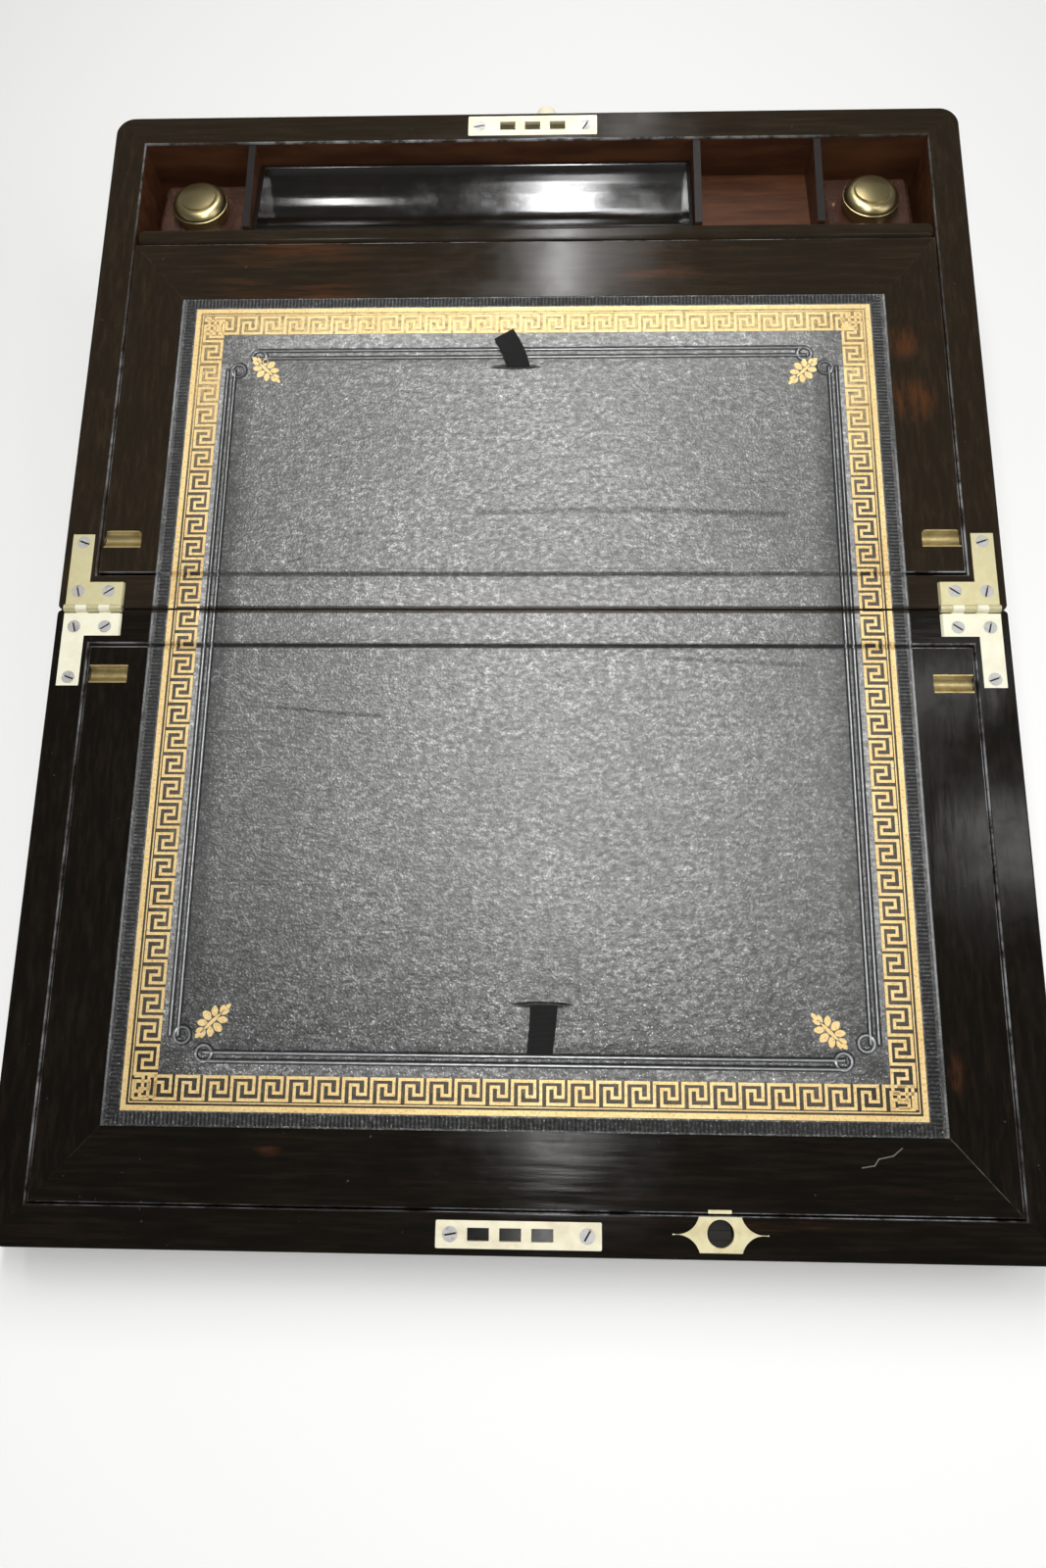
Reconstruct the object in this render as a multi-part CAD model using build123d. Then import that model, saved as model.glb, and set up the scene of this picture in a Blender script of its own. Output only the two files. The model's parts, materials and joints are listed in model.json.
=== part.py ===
from build123d import *
from math import asin, cos, degrees, radians, sin
import os

# A writing slope: a box cut on the slant, which opens flat into one long sloping writing
# surface. Two leathered flaps cover the storage inside, and the deep half also has a pen
# section with two inkwells, a pen tray and an open well.
#
# Millimetres, +Z up, x from left to right, the deep half (the base) at +Y. The origin is
# the middle of the underside of the open box.
#
# Much of the box is set out in slope coordinates (x, s, n): s runs up the slope from the
# hinge line and n stands square to it, with n = 0 at the rims. side is +1 for the base and
# -1 for the lid, which mirrors it about the hinge line.

BASE = 1
LID = -1

# ---- carcase ----
WIDTH = 406.0  # outside, left to right
DEPTH = 254.0  # outside of each half, hinge side to lock side
HEIGHT = 152.0  # outside, closed
SLOPE_ANGLE = 9.0
WALL = 15.3
BOARD = 8.0  # the bottom board and the top board
LOCK_CORNER_RADIUS = 9.0
HINGE_CORNER_RADIUS = 2.0
RIM_ROUNDING = 0.8
HALVES_GAP = 0.5  # between the hinge walls of the open box
RIMS_GAP = 0.4  # between the rims of the closed box

# ---- hinges: L leaves let into the rims ----
LEAF_THICKNESS = 1.6
LEAF_INSET = 3.2  # from the box's outer side to the leaf
LEAF_LEG_WIDTH = 9.6
LEAF_LEG_LENGTH = 35.0  # from the hinge line
LEAF_ARM_WIDTH = 12.4  # from the hinge line
LEAF_ARM_LENGTH = 25.4
LEAF_ARM_BEVEL = 1.2
LEG_SCREW_FROM_END = 3.8
ARM_SCREW_FROM_END = 7.2
ARM_SCREW_FROM_HINGE = 8.2
KNUCKLE_RADIUS = 1.7
KNUCKLES = 5
KNUCKLE_END_GAP = 0.08
KNUCKLE_CLEARANCE = 0.35
PIN_RADIUS = 0.8
PIN_CLEARANCE = 0.05

# ---- screws ----
SCREW_HEAD_RADIUS = 2.8
SCREW_SHANK_RADIUS = 1.4
SCREW_HEAD_DEPTH = 1.5
SCREW_LENGTH = 11.0
SCREW_SLOT = 0.7
SCREW_SLOT_DEPTH = 0.8
PLATE_SCREW_SCALE = 1.03  # those of the lock plate and the striker plate
HARDWARE_FIT = 0.04  # around metal let into wood
HARDWARE_SINK = 0.06  # how far let-in metal lies below the rim

# ---- flaps, leather and ribbons ----
FLAP_RECESS = 0.6  # below the rims
FLAP_THICKNESS = 8.0
FLAP_SIDE_GAP = 0.5
FLAP_END_GAP = 0.6
FLAP_EDGE_ROUNDING = 0.5
STILE_WIDTH = 25.2
RAIL_WIDTH = {BASE: 30.0, LID: 28.0}
PANEL_THICKNESS = 5.5
LEATHER_RECESS = 0.2  # below the wood around it
LEATHER_THICKNESS = 0.8
CREASE = 16.5  # from the hinge line to the fold in the leather
LEATHER_FROM_HINGE = 0.4
CREASE_GAP = 0.3  # from the fold to each cut edge of leather
FLAP_WOOD_GAP = 0.6  # from the fold to the flap's wood
BEARER_WIDTH = 6.0
BEARER_HEIGHT = 7.0
BEARER_GAP = 0.2  # under the flap
BEARER_FROM_CREASE = 2.5
RIBBON_WIDTH = 10.5
RIBBON_THICKNESS = 0.4
RIBBON_LENGTH = 19.0
RIBBON_FOOT = 2.5  # flat on the leather, at the slit
RIBBON_STEPS = 10
RIBBON_LIFT = {BASE: 1.1, LID: 0.5}  # how far its middle stands off the leather
RIBBON_TAIL_LIFT = 0.25
RIBBON_FROM_LEATHER_END = {BASE: 36.8, LID: 47.5}
RIBBON_X = {BASE: -5.2, LID: 8.8}

# ---- brass troughs let into the flap stiles ----
TROUGH_LENGTH = 16.4
TROUGH_WIDTH = 8.0
TROUGH_DEPTH = 3.2
TROUGH_HOLLOW = 2.3
TROUGH_LIP = 0.6
TROUGH_CORNER_RADIUS = {BASE: 2.2, LID: 0.3}  # on the side away from the hinge
TROUGH_FROM_HINGE = {BASE: (33.0, 33.0), LID: (29.5, 33.0)}  # left, right
TROUGH_FROM_STILE_EDGE = 1.0

# ---- pen section ----
DIVIDER = 10.0
DIVIDER_RAIL_WIDTH = 8.4
DIVIDER_RAIL_HEIGHT = 8.4
DIVIDER_RAIL_ROUNDING = 2.4
DIVIDER_RAIL_END_GAP = 0.2
DIVIDER_RAIL_END_RADIUS = 3.0
PEN_SECTION_LENGTH = 48.0  # along the slope, from the rail to the lock wall
PEN_FLOOR_TOP = 55.0
PEN_FLOOR = 6.0
PARTITION = 3.4
PARTITION_RECESS = 1.2
WELL_LENGTH = 53.8  # between its two partitions
WELL_DEPTH = 20.5  # at the lock wall
WELL_FLOOR = 4.0
TRAY_SINK = 11.5  # at the lock wall
TRAY_HEIGHT = 17.5
TRAY_FIT = 0.3
TRAY_END = 2.0
TRAY_LIP = 2.4
TRAY_HOLLOW = 12.5
TRAY_LIP_ROUNDING = 0.9
TRAY_BEARER = 6.0
REST_GAP = 0.05  # under what lifts out

# ---- inkwells ----
BOTTLE_WIDTH = 43.0
BOTTLE_HEIGHT = 38.0
BOTTLE_CORNER_RADIUS = 3.0
BOTTLE_SHOULDER = 2.2
BOTTLE_HOLLOW_RADIUS = 15.5
BOTTLE_BASE = 5.0
BOTTLE_ROOF = 3.5
BOTTLE_SIDE_GAP = 3.6  # to the side wall and to the partition
NECK_RADIUS = 10.0
NECK_BORE_RADIUS = 7.5
NECK_HEIGHT = 6.0
COLLAR_RADIUS = 10.9
COLLAR_FLANGE_RADIUS = 12.4
COLLAR_FLANGE = 1.0
COLLAR_HEIGHT = 5.2
COLLAR_FIT = 0.04
CAP_RADIUS = 13.7
CAP_WALL = 1.1
CAP_SKIRT_HEIGHT = 5.6
CAP_BRIM_FROM_FOOT = 4.1
CAP_BRIM = 1.1
CAP_HEIGHT = 9.8
CAP_BUTTON_RADIUS = 8.3
CAP_BUTTON_RISE = 0.5
CAP_BUTTON_DOME = 0.8
CAP_SHOULDER_BULGE = 0.75
CAP_GAP = 0.3  # around the collar

# ---- lock: three claws that curl up out of the plate's slots ----
LOCK_FROM_OUTSIDE = 7.4  # along the slope, from the outer face to the lock's middle
PLATE_LENGTH = 62.0
LOCK_PLATE_WIDTH = 11.2
STRIKER_PLATE_WIDTH = 9.9
PLATE_THICKNESS = 1.8
PLATE_CORNER_RADIUS = 0.6
PLATE_SCREW_X = 25.6
SLOT_PITCH = 12.0
SLOT_WIDTH = 4.7
LOCK_SLOT_LENGTH = 7.4
STRIKER_SLOT_LENGTH = 8.2
STRIKER_OFFSET = 3.1  # to the left of the lock's slots
CASE_LENGTH = 48.0
CASE_WIDTH = 9.4
CASE_DEPTH = 19.0
CASE_SHELL = 1.2
CLAW_INNER_RADIUS = 6.9
CLAW_OUTER_RADIUS = 9.1
CLAW_THICKNESS = 2.4
CLAW_TIP_ANGLE = 3.0  # at rest, from +x about the pivot
CLAW_SPAN = 105.0
CLAW_SWING = 97.0
CLAW_HUB_RADIUS = 1.7
CLAW_ARM_WIDTH = 2.2
CLAW_PIVOT_OFFSET = 8.4  # to the left of its slot's middle
CLAW_PIVOT_DEPTH = 4.0  # below the rim
CLAW_PIN_RADIUS = 0.9
CLAW_PIN_CLEARANCE = 0.06
STRIKER_MORTISE_DEPTH = 6.5
STRIKER_MORTISE_WIDTH = 5.4
STRIKER_MORTISE_LENGTH = 40.0

# ---- key nozzle and barrel ----
KEY_X = 6.5
KEY_DEPTH = 8.5  # below the rim at the lock's middle
NOZZLE_RADIUS = 8.0
NOZZLE_FLANGE = 1.4
NOZZLE_REACH = 12.0
NOZZLE_TIP_RADIUS = 5.0
NOZZLE_STEP = 1.0
NOZZLE_EDGE = 0.8
BARREL_RADIUS = 3.1
BARREL_CLEARANCE = 0.08
BARREL_BORE_RADIUS = 1.7
BARREL_BORE_DEPTH = 7.0
BARREL_RECESS = 1.2  # behind the nozzle's mouth
BARREL_BIT_SLOT = 1.2
BARREL_INTO_CASE = 2.2

# ---- flap catch in the lid's rim ----
CATCH_X = 75.0
CATCH_LENGTH = 35.7
CATCH_WIDTH = 12.6
CATCH_FLAT = 15.8
CATCH_THICKNESS = 1.6
CATCH_SAGITTA = 2.3
CATCH_TIP = 0.5  # across each blunted point
CATCH_FROM_INSIDE = 0.45  # along the slope, from the wall's inner face to the plate
CATCH_HOLE_RADIUS = 5.0
CATCH_HOLE_OFFSET = 0.4
CATCH_RIVET_OFFSET = 7.4
CATCH_RIVET_RADIUS = 1.3
CATCH_RIVET_LENGTH = 6.0
BOLT_WIDTH = 8.6
BOLT_LENGTH = 8.0  # without its nose
BOLT_THICKNESS = 2.4
BOLT_NOSE_WIDTH = 6.4
BOLT_NOSE_LENGTH = 3.4
BOLT_NOSE_BEVEL = 1.2
BOLT_NOSE_FROM_FLAP = 0.5  # with the bolt drawn back
BOLT_TRAVEL = 2.4
BOLT_DEPTH = 5.8  # its underside, below the rim
BOLT_CLEARANCE = 0.3
THUMB_LENGTH = 2.9
THUMB_HEIGHT = 1.4
THUMB_FROM_NOSE_TIP = 5.7
SPRING_THICKNESS = 0.4
SPRING_LENGTH = 8.0
SPRING_BEND = 1.6
SPRING_GAP = 0.25
STRIKE_WIDTH = 8.7
STRIKE_LEG = 1.3
STRIKE_THICKNESS = 0.9
STRIKE_HEIGHT = 7.4

# ---- worked out from the sizes above ----
SIN = sin(radians(SLOPE_ANGLE))
COS = cos(radians(SLOPE_ANGLE))
HINGE_Y = -NOZZLE_REACH / 2
HINGE_Z = HEIGHT / 2
AXIS_N = RIMS_GAP / 2
SLOPE = Plane(origin=(0, HINGE_Y, HINGE_Z), x_dir=(1, 0, 0), z_dir=(0, -SIN, COS))
OUTER_S = (HALVES_GAP / 2 + DEPTH) / COS
INNER_S = (HALVES_GAP / 2 + DEPTH - WALL) / COS
INNER_X = WIDTH / 2 - WALL
LOCK_S = OUTER_S - LOCK_FROM_OUTSIDE
RAIL_FAR_S = INNER_S - PEN_SECTION_LENGTH
RAIL_NEAR_S = RAIL_FAR_S - DIVIDER_RAIL_WIDTH
RAIL_TOP_N = -FLAP_RECESS
RAIL_BOTTOM_N = RAIL_TOP_N - DIVIDER_RAIL_HEIGHT
FLAP_X = INNER_X - FLAP_SIDE_GAP
FLAP_TOP_N = -FLAP_RECESS
FLAP_BOTTOM_N = FLAP_TOP_N - FLAP_THICKNESS
FLAP_END_S = {BASE: RAIL_NEAR_S - FLAP_END_GAP, LID: INNER_S - FLAP_END_GAP}
LEATHER_X = FLAP_X - STILE_WIDTH
LEATHER_END_S = {side: FLAP_END_S[side] - RAIL_WIDTH[side] for side in (BASE, LID)}
LEATHER_TOP_N = FLAP_TOP_N - LEATHER_RECESS
LEATHER_BOTTOM_N = LEATHER_TOP_N - LEATHER_THICKNESS
FLAP_START_S = CREASE + FLAP_WOOD_GAP
LEAF_OUT_X = WIDTH / 2 - LEAF_INSET
LEAF_IN_X = LEAF_OUT_X - LEAF_ARM_LENGTH
LEAF_TOP_N = -HARDWARE_SINK
PLATE_WIDTH = {BASE: LOCK_PLATE_WIDTH, LID: STRIKER_PLATE_WIDTH}
PLATE_BOTTOM_N = -HARDWARE_SINK - PLATE_THICKNESS
CATCH_BOTTOM_N = -HARDWARE_SINK - CATCH_THICKNESS
CATCH_S = INNER_S + CATCH_FROM_INSIDE + CATCH_WIDTH / 2
SLOT_X = [-SLOT_PITCH, 0.0, SLOT_PITCH]
OUT = 20.0  # how far a cutting block runs past the wood


def slope_to_row(s, n):
    """The y and z of a point given up the slope and square to it."""
    return HINGE_Y + s * COS - n * SIN, HINGE_Z + s * SIN + n * COS


def row_to_s(y, n):
    """How far up the slope a point of given y lies, n square to it."""
    return (y - HINGE_Y + n * SIN) / COS


LOCK_Y, LOCK_Z = slope_to_row(LOCK_S, 0)
DIVIDER_FAR_Y = slope_to_row(RAIL_FAR_S, RAIL_BOTTOM_N)[0]
DIVIDER_NEAR_Y = DIVIDER_FAR_Y - DIVIDER
LOCK_WALL_INNER_Y = HINGE_Y + HALVES_GAP / 2 + DEPTH - WALL
LOCK_WALL_OUTER_Y = HINGE_Y + HALVES_GAP / 2 + DEPTH
PEN_RIM_Z = slope_to_row(INNER_S, 0)[1]
WELL_FLOOR_TOP = PEN_RIM_Z - WELL_DEPTH
TRAY_TOP = PEN_RIM_Z - TRAY_SINK
PEN_MIDDLE_Y = (DIVIDER_FAR_Y + LOCK_WALL_INNER_Y) / 2
PEN_WIDTH_Y = LOCK_WALL_INNER_Y - DIVIDER_FAR_Y
INKWELL_X = INNER_X - BOTTLE_SIDE_GAP - BOTTLE_WIDTH / 2
INKWELL_PARTITION_X = INKWELL_X - BOTTLE_WIDTH / 2 - BOTTLE_SIDE_GAP - PARTITION / 2
WELL_PARTITION_X = INKWELL_PARTITION_X - WELL_LENGTH - PARTITION
TRAY_LEFT_X = PARTITION / 2 - INKWELL_PARTITION_X
TRAY_RIGHT_X = WELL_PARTITION_X - PARTITION / 2
NOSE_TIP_S = INNER_S - FLAP_END_GAP + BOLT_NOSE_FROM_FLAP
BOLT_FRONT_S = NOSE_TIP_S + BOLT_NOSE_LENGTH
BOLT_BACK_S = BOLT_FRONT_S + BOLT_LENGTH
SPRING_BACK_S = BOLT_BACK_S + SPRING_GAP + SPRING_BEND + SPRING_THICKNESS


def ordered(side, near, far):
    """A pair of distances from the hinge line as low and high s on the given side."""
    return tuple(sorted((side * near, side * far)))


def block(x, y, z):
    """A block between pairs of x, y and z."""
    spans = [high - low for low, high in (x, y, z)]
    middles = [(low + high) / 2 for low, high in (x, y, z)]
    return Pos(*middles) * Box(*spans)


def slope_block(x, s, n):
    """A block between pairs of x, s and n."""
    return SLOPE * block(x, s, n)


def prism(points, low, high):
    """A closed outline in x and y, raised from z = low to z = high."""
    face = make_face(Polyline(*points, close=True))
    return Pos(0, 0, low) * extrude(face, amount=high - low, dir=(0, 0, 1))


def rod_along_x(radius, x, s, n):
    """A rod between two values of x, in slope coordinates."""
    low, high = x
    return SLOPE * Pos((low + high) / 2, s, n) * Rot(0, 90, 0) * Cylinder(radius, high - low)


def rod_along_y(radius, x, y, z):
    """A rod between two values of y."""
    low, high = y
    return Pos(x, (low + high) / 2, z) * Rot(90, 0, 0) * Cylinder(radius, high - low)


def both_hands(shape):
    """A piece of the right side with its mirror image on the left."""
    return Compound([shape, mirror(shape, about=Plane.YZ)])


# ---- screws ----


def screw_blank(scale=1.0, fit=0.0):
    """A countersunk screw without its slot, its head's top at z = 0."""
    head = SCREW_HEAD_RADIUS * scale + fit
    shank = SCREW_SHANK_RADIUS * scale + fit
    neck = -SCREW_HEAD_DEPTH * scale - fit
    tip = -SCREW_LENGTH * scale - fit
    outline = [(0, 0), (head, 0), (shank, neck), (shank, tip + 2 * shank), (0, tip)]
    return revolve(Plane.XZ * make_face(Polyline(*outline, close=True)), axis=Axis.Z)


def screw(scale=1.0, turn=0.0):
    """A slotted countersunk screw."""
    slot = Box(3 * SCREW_HEAD_RADIUS, SCREW_SLOT * scale, 2 * SCREW_SLOT_DEPTH * scale)
    return Rot(0, 0, turn) * (screw_blank(scale) - slot)


def hinge_screw_places(side):
    """The x, s and slot angle of the right-hand leaf's three screws."""
    leg_x = LEAF_OUT_X - LEAF_LEG_WIDTH / 2
    return [
        (leg_x, side * (LEAF_LEG_LENGTH - LEG_SCREW_FROM_END), 20.0),
        (leg_x, side * ARM_SCREW_FROM_HINGE, 75.0),
        (LEAF_IN_X + ARM_SCREW_FROM_END, side * ARM_SCREW_FROM_HINGE, -35.0),
    ]


def hinge_screws(side):
    """The six screws of both leaves on one half."""
    placed = [
        SLOPE * Pos(hand * x, s, LEAF_TOP_N) * screw(turn=hand * turn)
        for hand in (1, -1)
        for x, s, turn in hinge_screw_places(side)
    ]
    return Compound(placed)


def hinge_screw_holes(side, hand):
    """The holes of one leaf's screws, through metal and wood alike."""
    return [
        SLOPE * Pos(hand * x, s, LEAF_TOP_N) * screw_blank(fit=HARDWARE_FIT)
        for x, s, _ in hinge_screw_places(side)
    ]


def plate_screws(side):
    """The two screws of the lock plate or of the striker plate."""
    placed = [
        SLOPE * Pos(x, side * LOCK_S, -HARDWARE_SINK) * screw(PLATE_SCREW_SCALE, turn)
        for x, turn in ((-PLATE_SCREW_X, 10.0), (PLATE_SCREW_X, 60.0))
    ]
    return Compound(placed)


def plate_screw_holes(side):
    """The holes of the two screws of the lock plate or of the striker plate."""
    hole = screw_blank(PLATE_SCREW_SCALE, HARDWARE_FIT)
    return [
        SLOPE * Pos(x, side * LOCK_S, -HARDWARE_SINK) * hole
        for x in (-PLATE_SCREW_X, PLATE_SCREW_X)
    ]


# ---- hinges ----


def leaf_body(side, fit=0.0, top=LEAF_TOP_N):
    """The flat L of the right-hand leaf, without its knuckles, in slope coordinates."""
    start = KNUCKLE_RADIUS + KNUCKLE_CLEARANCE
    inner = LEAF_IN_X - fit
    outer = LEAF_OUT_X + fit
    leg = LEAF_OUT_X - LEAF_LEG_WIDTH - fit
    outline = [
        (inner, start),
        (outer, start),
        (outer, LEAF_LEG_LENGTH + fit),
        (leg, LEAF_LEG_LENGTH + fit),
        (leg, LEAF_ARM_WIDTH + fit),
        (inner, LEAF_ARM_WIDTH + fit),
    ]
    placed = [(x, side * s) for x, s in outline]
    return prism(placed, LEAF_TOP_N - LEAF_THICKNESS, top)


def knuckle_spans(side):
    """The pairs of x of the right-hand knuckles that belong to one half."""
    pitch = (LEAF_OUT_X - LEAF_IN_X) / KNUCKLES
    first = 0 if side == BASE else 1
    starts = [LEAF_IN_X + i * pitch for i in range(first, KNUCKLES, 2)]
    return [(x + KNUCKLE_END_GAP, x + pitch - KNUCKLE_END_GAP) for x in starts]


def hinge_leaf(side):
    """The right-hand leaf of one half: a let-in L with its share of the knuckles."""
    flat = leaf_body(side)
    arm_end = flat.edges().filter_by(Axis.Y).group_by(Axis.X)[0].group_by(Axis.Z)[-1]
    leaf = SLOPE * chamfer(arm_end, LEAF_ARM_BEVEL)
    for span in knuckle_spans(side):
        web = ordered(side, 0, KNUCKLE_RADIUS + KNUCKLE_CLEARANCE)
        leaf += slope_block(span, web, (LEAF_TOP_N - LEAF_THICKNESS, LEAF_TOP_N))
        leaf += rod_along_x(KNUCKLE_RADIUS, span, 0, AXIS_N)
    bore = PIN_RADIUS if side == BASE else PIN_RADIUS + PIN_CLEARANCE
    leaf -= rod_along_x(bore, (LEAF_IN_X - OUT, LEAF_OUT_X + OUT), 0, AXIS_N)
    for hole in hinge_screw_holes(side, hand=1):
        leaf -= hole
    return leaf


def hinge_pin():
    """The right-hand hinge pin, tight in the base's knuckles."""
    ends = (LEAF_IN_X + KNUCKLE_END_GAP, LEAF_OUT_X - KNUCKLE_END_GAP)
    return rod_along_x(PIN_RADIUS, ends, 0, AXIS_N)


def hinge_recesses(side):
    """What is cut out of one half's wood for both leaves and for the knuckles."""
    ends = (LEAF_IN_X - HARDWARE_FIT, LEAF_OUT_X + HARDWARE_FIT)
    reach = KNUCKLE_RADIUS + KNUCKLE_CLEARANCE
    bed = SLOPE * leaf_body(side, HARDWARE_FIT, OUT)
    bed += slope_block(ends, ordered(side, -reach, reach), (LEAF_TOP_N - LEAF_THICKNESS, OUT))
    bed += rod_along_x(reach, ends, 0, AXIS_N)
    return [bed, mirror(bed, about=Plane.YZ)]


# ---- carcase ----


def carcase_ring(side):
    """The four walls of one half in one piece, cut to the slope, with eased rims."""
    start = HINGE_Y + side * HALVES_GAP / 2
    middle = Pos(0, start + side * DEPTH / 2)
    outline = middle * Rectangle(WIDTH, DEPTH)
    lock_end = -1 if side == BASE else 0
    outline = fillet(outline.vertices().group_by(Axis.Y)[lock_end], LOCK_CORNER_RADIUS)
    hinge_corners = outline.vertices().group_by(Axis.Y)[-1 - lock_end]
    outline = fillet(hinge_corners, HINGE_CORNER_RADIUS)
    hollow = Rectangle(WIDTH - 2 * WALL, DEPTH - 2 * WALL)
    tall = extrude(outline - middle * hollow, amount=HEIGHT)
    ring = split(tall, bisect_by=SLOPE, keep=Keep.BOTTOM)
    rim = [
        edge
        for edge in ring.edges()
        if all(abs(SLOPE.to_local_coords(v.center()).Z) < 0.01 for v in edge.vertices())
    ]
    return fillet(rim, RIM_ROUNDING)


def mitre_zones(side):
    """The mitred ground plan of each wall, as a tall block, by the wall's name."""
    start = HINGE_Y + side * HALVES_GAP / 2
    end = start + side * DEPTH
    inner_start = start + side * WALL
    inner_end = end - side * WALL
    x = WIDTH / 2
    plans = {
        "hinge": [(-x, start), (x, start), (INNER_X, inner_start), (-INNER_X, inner_start)],
        "lock": [(-x, end), (x, end), (INNER_X, inner_end), (-INNER_X, inner_end)],
        "left": [(-x, start), (-INNER_X, inner_start), (-INNER_X, inner_end), (-x, end)],
        "right": [(x, start), (INNER_X, inner_start), (INNER_X, inner_end), (x, end)],
    }
    return {name: prism(plan, 0, HEIGHT) for name, plan in plans.items()}


def leather_bed(side):
    """The recess in the hinge wall's rim for the fixed strip of leather."""
    across = (-LEATHER_X - HARDWARE_FIT, LEATHER_X + HARDWARE_FIT)
    return slope_block(across, ordered(side, -OUT, CREASE + OUT), (LEATHER_BOTTOM_N, OUT))


def plate_bed(side):
    """The recess in a lock wall's rim for the lock plate or the striker plate."""
    length = PLATE_LENGTH + 2 * HARDWARE_FIT
    width = PLATE_WIDTH[side] + 2 * HARDWARE_FIT
    outline = RectangleRounded(length, width, PLATE_CORNER_RADIUS)
    return SLOPE * Pos(0, side * LOCK_S, PLATE_BOTTOM_N) * extrude(outline, amount=OUT)


def lock_mortises():
    """What is cut out of the base's lock wall for the lock and its nozzle."""
    half_length = CASE_LENGTH / 2 + HARDWARE_FIT
    half_width = CASE_WIDTH / 2 + HARDWARE_FIT
    case = block(
        (-half_length, half_length),
        (LOCK_Y - half_width, LOCK_Y + half_width),
        (LOCK_Z - CASE_DEPTH, LOCK_Z + OUT),
    )
    radius = BARREL_RADIUS + BARREL_CLEARANCE
    hole = rod_along_y(radius, KEY_X, (LOCK_Y, LOCK_Y + OUT), LOCK_Z - KEY_DEPTH)
    return [plate_bed(BASE), case, hole]


def striker_mortises():
    """What is cut out of the lid's lock wall for the striker plate and the claws."""
    y, z = slope_to_row(-LOCK_S, 0)
    middle_x = -CLAW_PIVOT_OFFSET / 2
    claws = block(
        (middle_x - STRIKER_MORTISE_LENGTH / 2, middle_x + STRIKER_MORTISE_LENGTH / 2),
        (y - STRIKER_MORTISE_WIDTH / 2, y + STRIKER_MORTISE_WIDTH / 2),
        (z - STRIKER_MORTISE_DEPTH, z),
    )
    return [plate_bed(LID), claws]


def carcase(side):
    """The mitred walls of one half by name, with every recess cut."""
    cuts = hinge_recesses(side) + [leather_bed(side)] + plate_screw_holes(side)
    cuts += hinge_screw_holes(side, hand=1) + hinge_screw_holes(side, hand=-1)
    cuts += lock_mortises() if side == BASE else striker_mortises() + catch_mortises()
    ring = carcase_ring(side)
    walls = {}
    for name, zone in mitre_zones(side).items():
        wall = ring & zone
        for cut in cuts:
            wall -= cut
        walls[name] = wall
    return walls


def floor_board(side):
    """The bottom board of the base, or the top board of the lid, between the walls."""
    middle_y = HINGE_Y + side * (HALVES_GAP / 2 + DEPTH / 2)
    outline = Rectangle(WIDTH - 2 * WALL, DEPTH - 2 * WALL)
    return Pos(0, middle_y) * extrude(outline, amount=BOARD)


def flap_bearers(side):
    """The two strips on the side walls that a flap rests on."""
    top = FLAP_BOTTOM_N - BEARER_GAP
    lowest_end = row_to_s(DIVIDER_NEAR_Y, top - BEARER_HEIGHT)
    end = lowest_end if side == BASE else INNER_S
    start = CREASE + BEARER_FROM_CREASE
    strip = slope_block(
        (INNER_X - BEARER_WIDTH, INNER_X),
        ordered(side, start, end),
        (top - BEARER_HEIGHT, top),
    )
    return both_hands(strip)


# ---- flaps ----


def trough_blank(side, fit=0.0):
    """The outer block of a trough, its top at z = 0, its rounder corners towards +y."""
    outline = Rectangle(TROUGH_LENGTH + 2 * fit, TROUGH_WIDTH + 2 * fit)
    outline = fillet(outline.vertices().group_by(Axis.Y)[-1], TROUGH_CORNER_RADIUS[side])
    return Pos(0, 0, -TROUGH_DEPTH) * extrude(outline, amount=TROUGH_DEPTH)


def trough_places(side):
    """Where the left-hand and the right-hand trough of one flap sit."""
    x = FLAP_X - TROUGH_FROM_STILE_EDGE - TROUGH_LENGTH / 2
    turn = Rot(0, 0, 0) if side == BASE else Rot(0, 0, 180)
    return [
        SLOPE * Pos(hand * x, side * from_hinge, FLAP_TOP_N) * turn
        for hand, from_hinge in zip((-1, 1), TROUGH_FROM_HINGE[side])
    ]


def troughs(side):
    """The two brass troughs of one flap, hollowed along their length."""
    half_chord = TROUGH_WIDTH / 2 - TROUGH_LIP
    radius = (half_chord**2 + TROUGH_HOLLOW**2) / (2 * TROUGH_HOLLOW)
    hollow = Pos(0, 0, radius - TROUGH_HOLLOW) * Rot(0, 90, 0) * Cylinder(radius, 2 * OUT)
    trough = trough_blank(side) - hollow
    return Compound([place * trough for place in trough_places(side)])


def mitred_strip(side, outline):
    """A frame member between four points, its longest top edge eased."""
    placed = [(x, side * s) for x, s in outline]
    strip = prism(placed, FLAP_BOTTOM_N, FLAP_TOP_N)
    longest = strip.edges().group_by(Axis.Z)[-1].sort_by(SortBy.LENGTH)[-1]
    return SLOPE * fillet(longest, FLAP_EDGE_ROUNDING)


def flap_frame(side):
    """Two stiles and a rail, mitred, around three sides of a flap's panel."""
    end, leather = FLAP_END_S[side], LEATHER_END_S[side]
    start = FLAP_START_S
    stile = mitred_strip(
        side, [(LEATHER_X, start), (FLAP_X, start), (FLAP_X, end), (LEATHER_X, leather)]
    )
    rail = mitred_strip(
        side, [(-FLAP_X, end), (FLAP_X, end), (LEATHER_X, leather), (-LEATHER_X, leather)]
    )
    if side == LID:
        rail -= strike_bed()
    stiles = [mirror(stile, about=Plane.YZ), stile]
    beds = [place * trough_blank(side, HARDWARE_FIT) for place in trough_places(side)]
    return Compound([wood - bed for wood, bed in zip(stiles, beds)] + [rail])


def flap_panel(side):
    """The board under a flap's leather."""
    span = ordered(side, FLAP_START_S, LEATHER_END_S[side])
    top = LEATHER_BOTTOM_N
    return slope_block((-LEATHER_X, LEATHER_X), span, (top - PANEL_THICKNESS, top))


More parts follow.
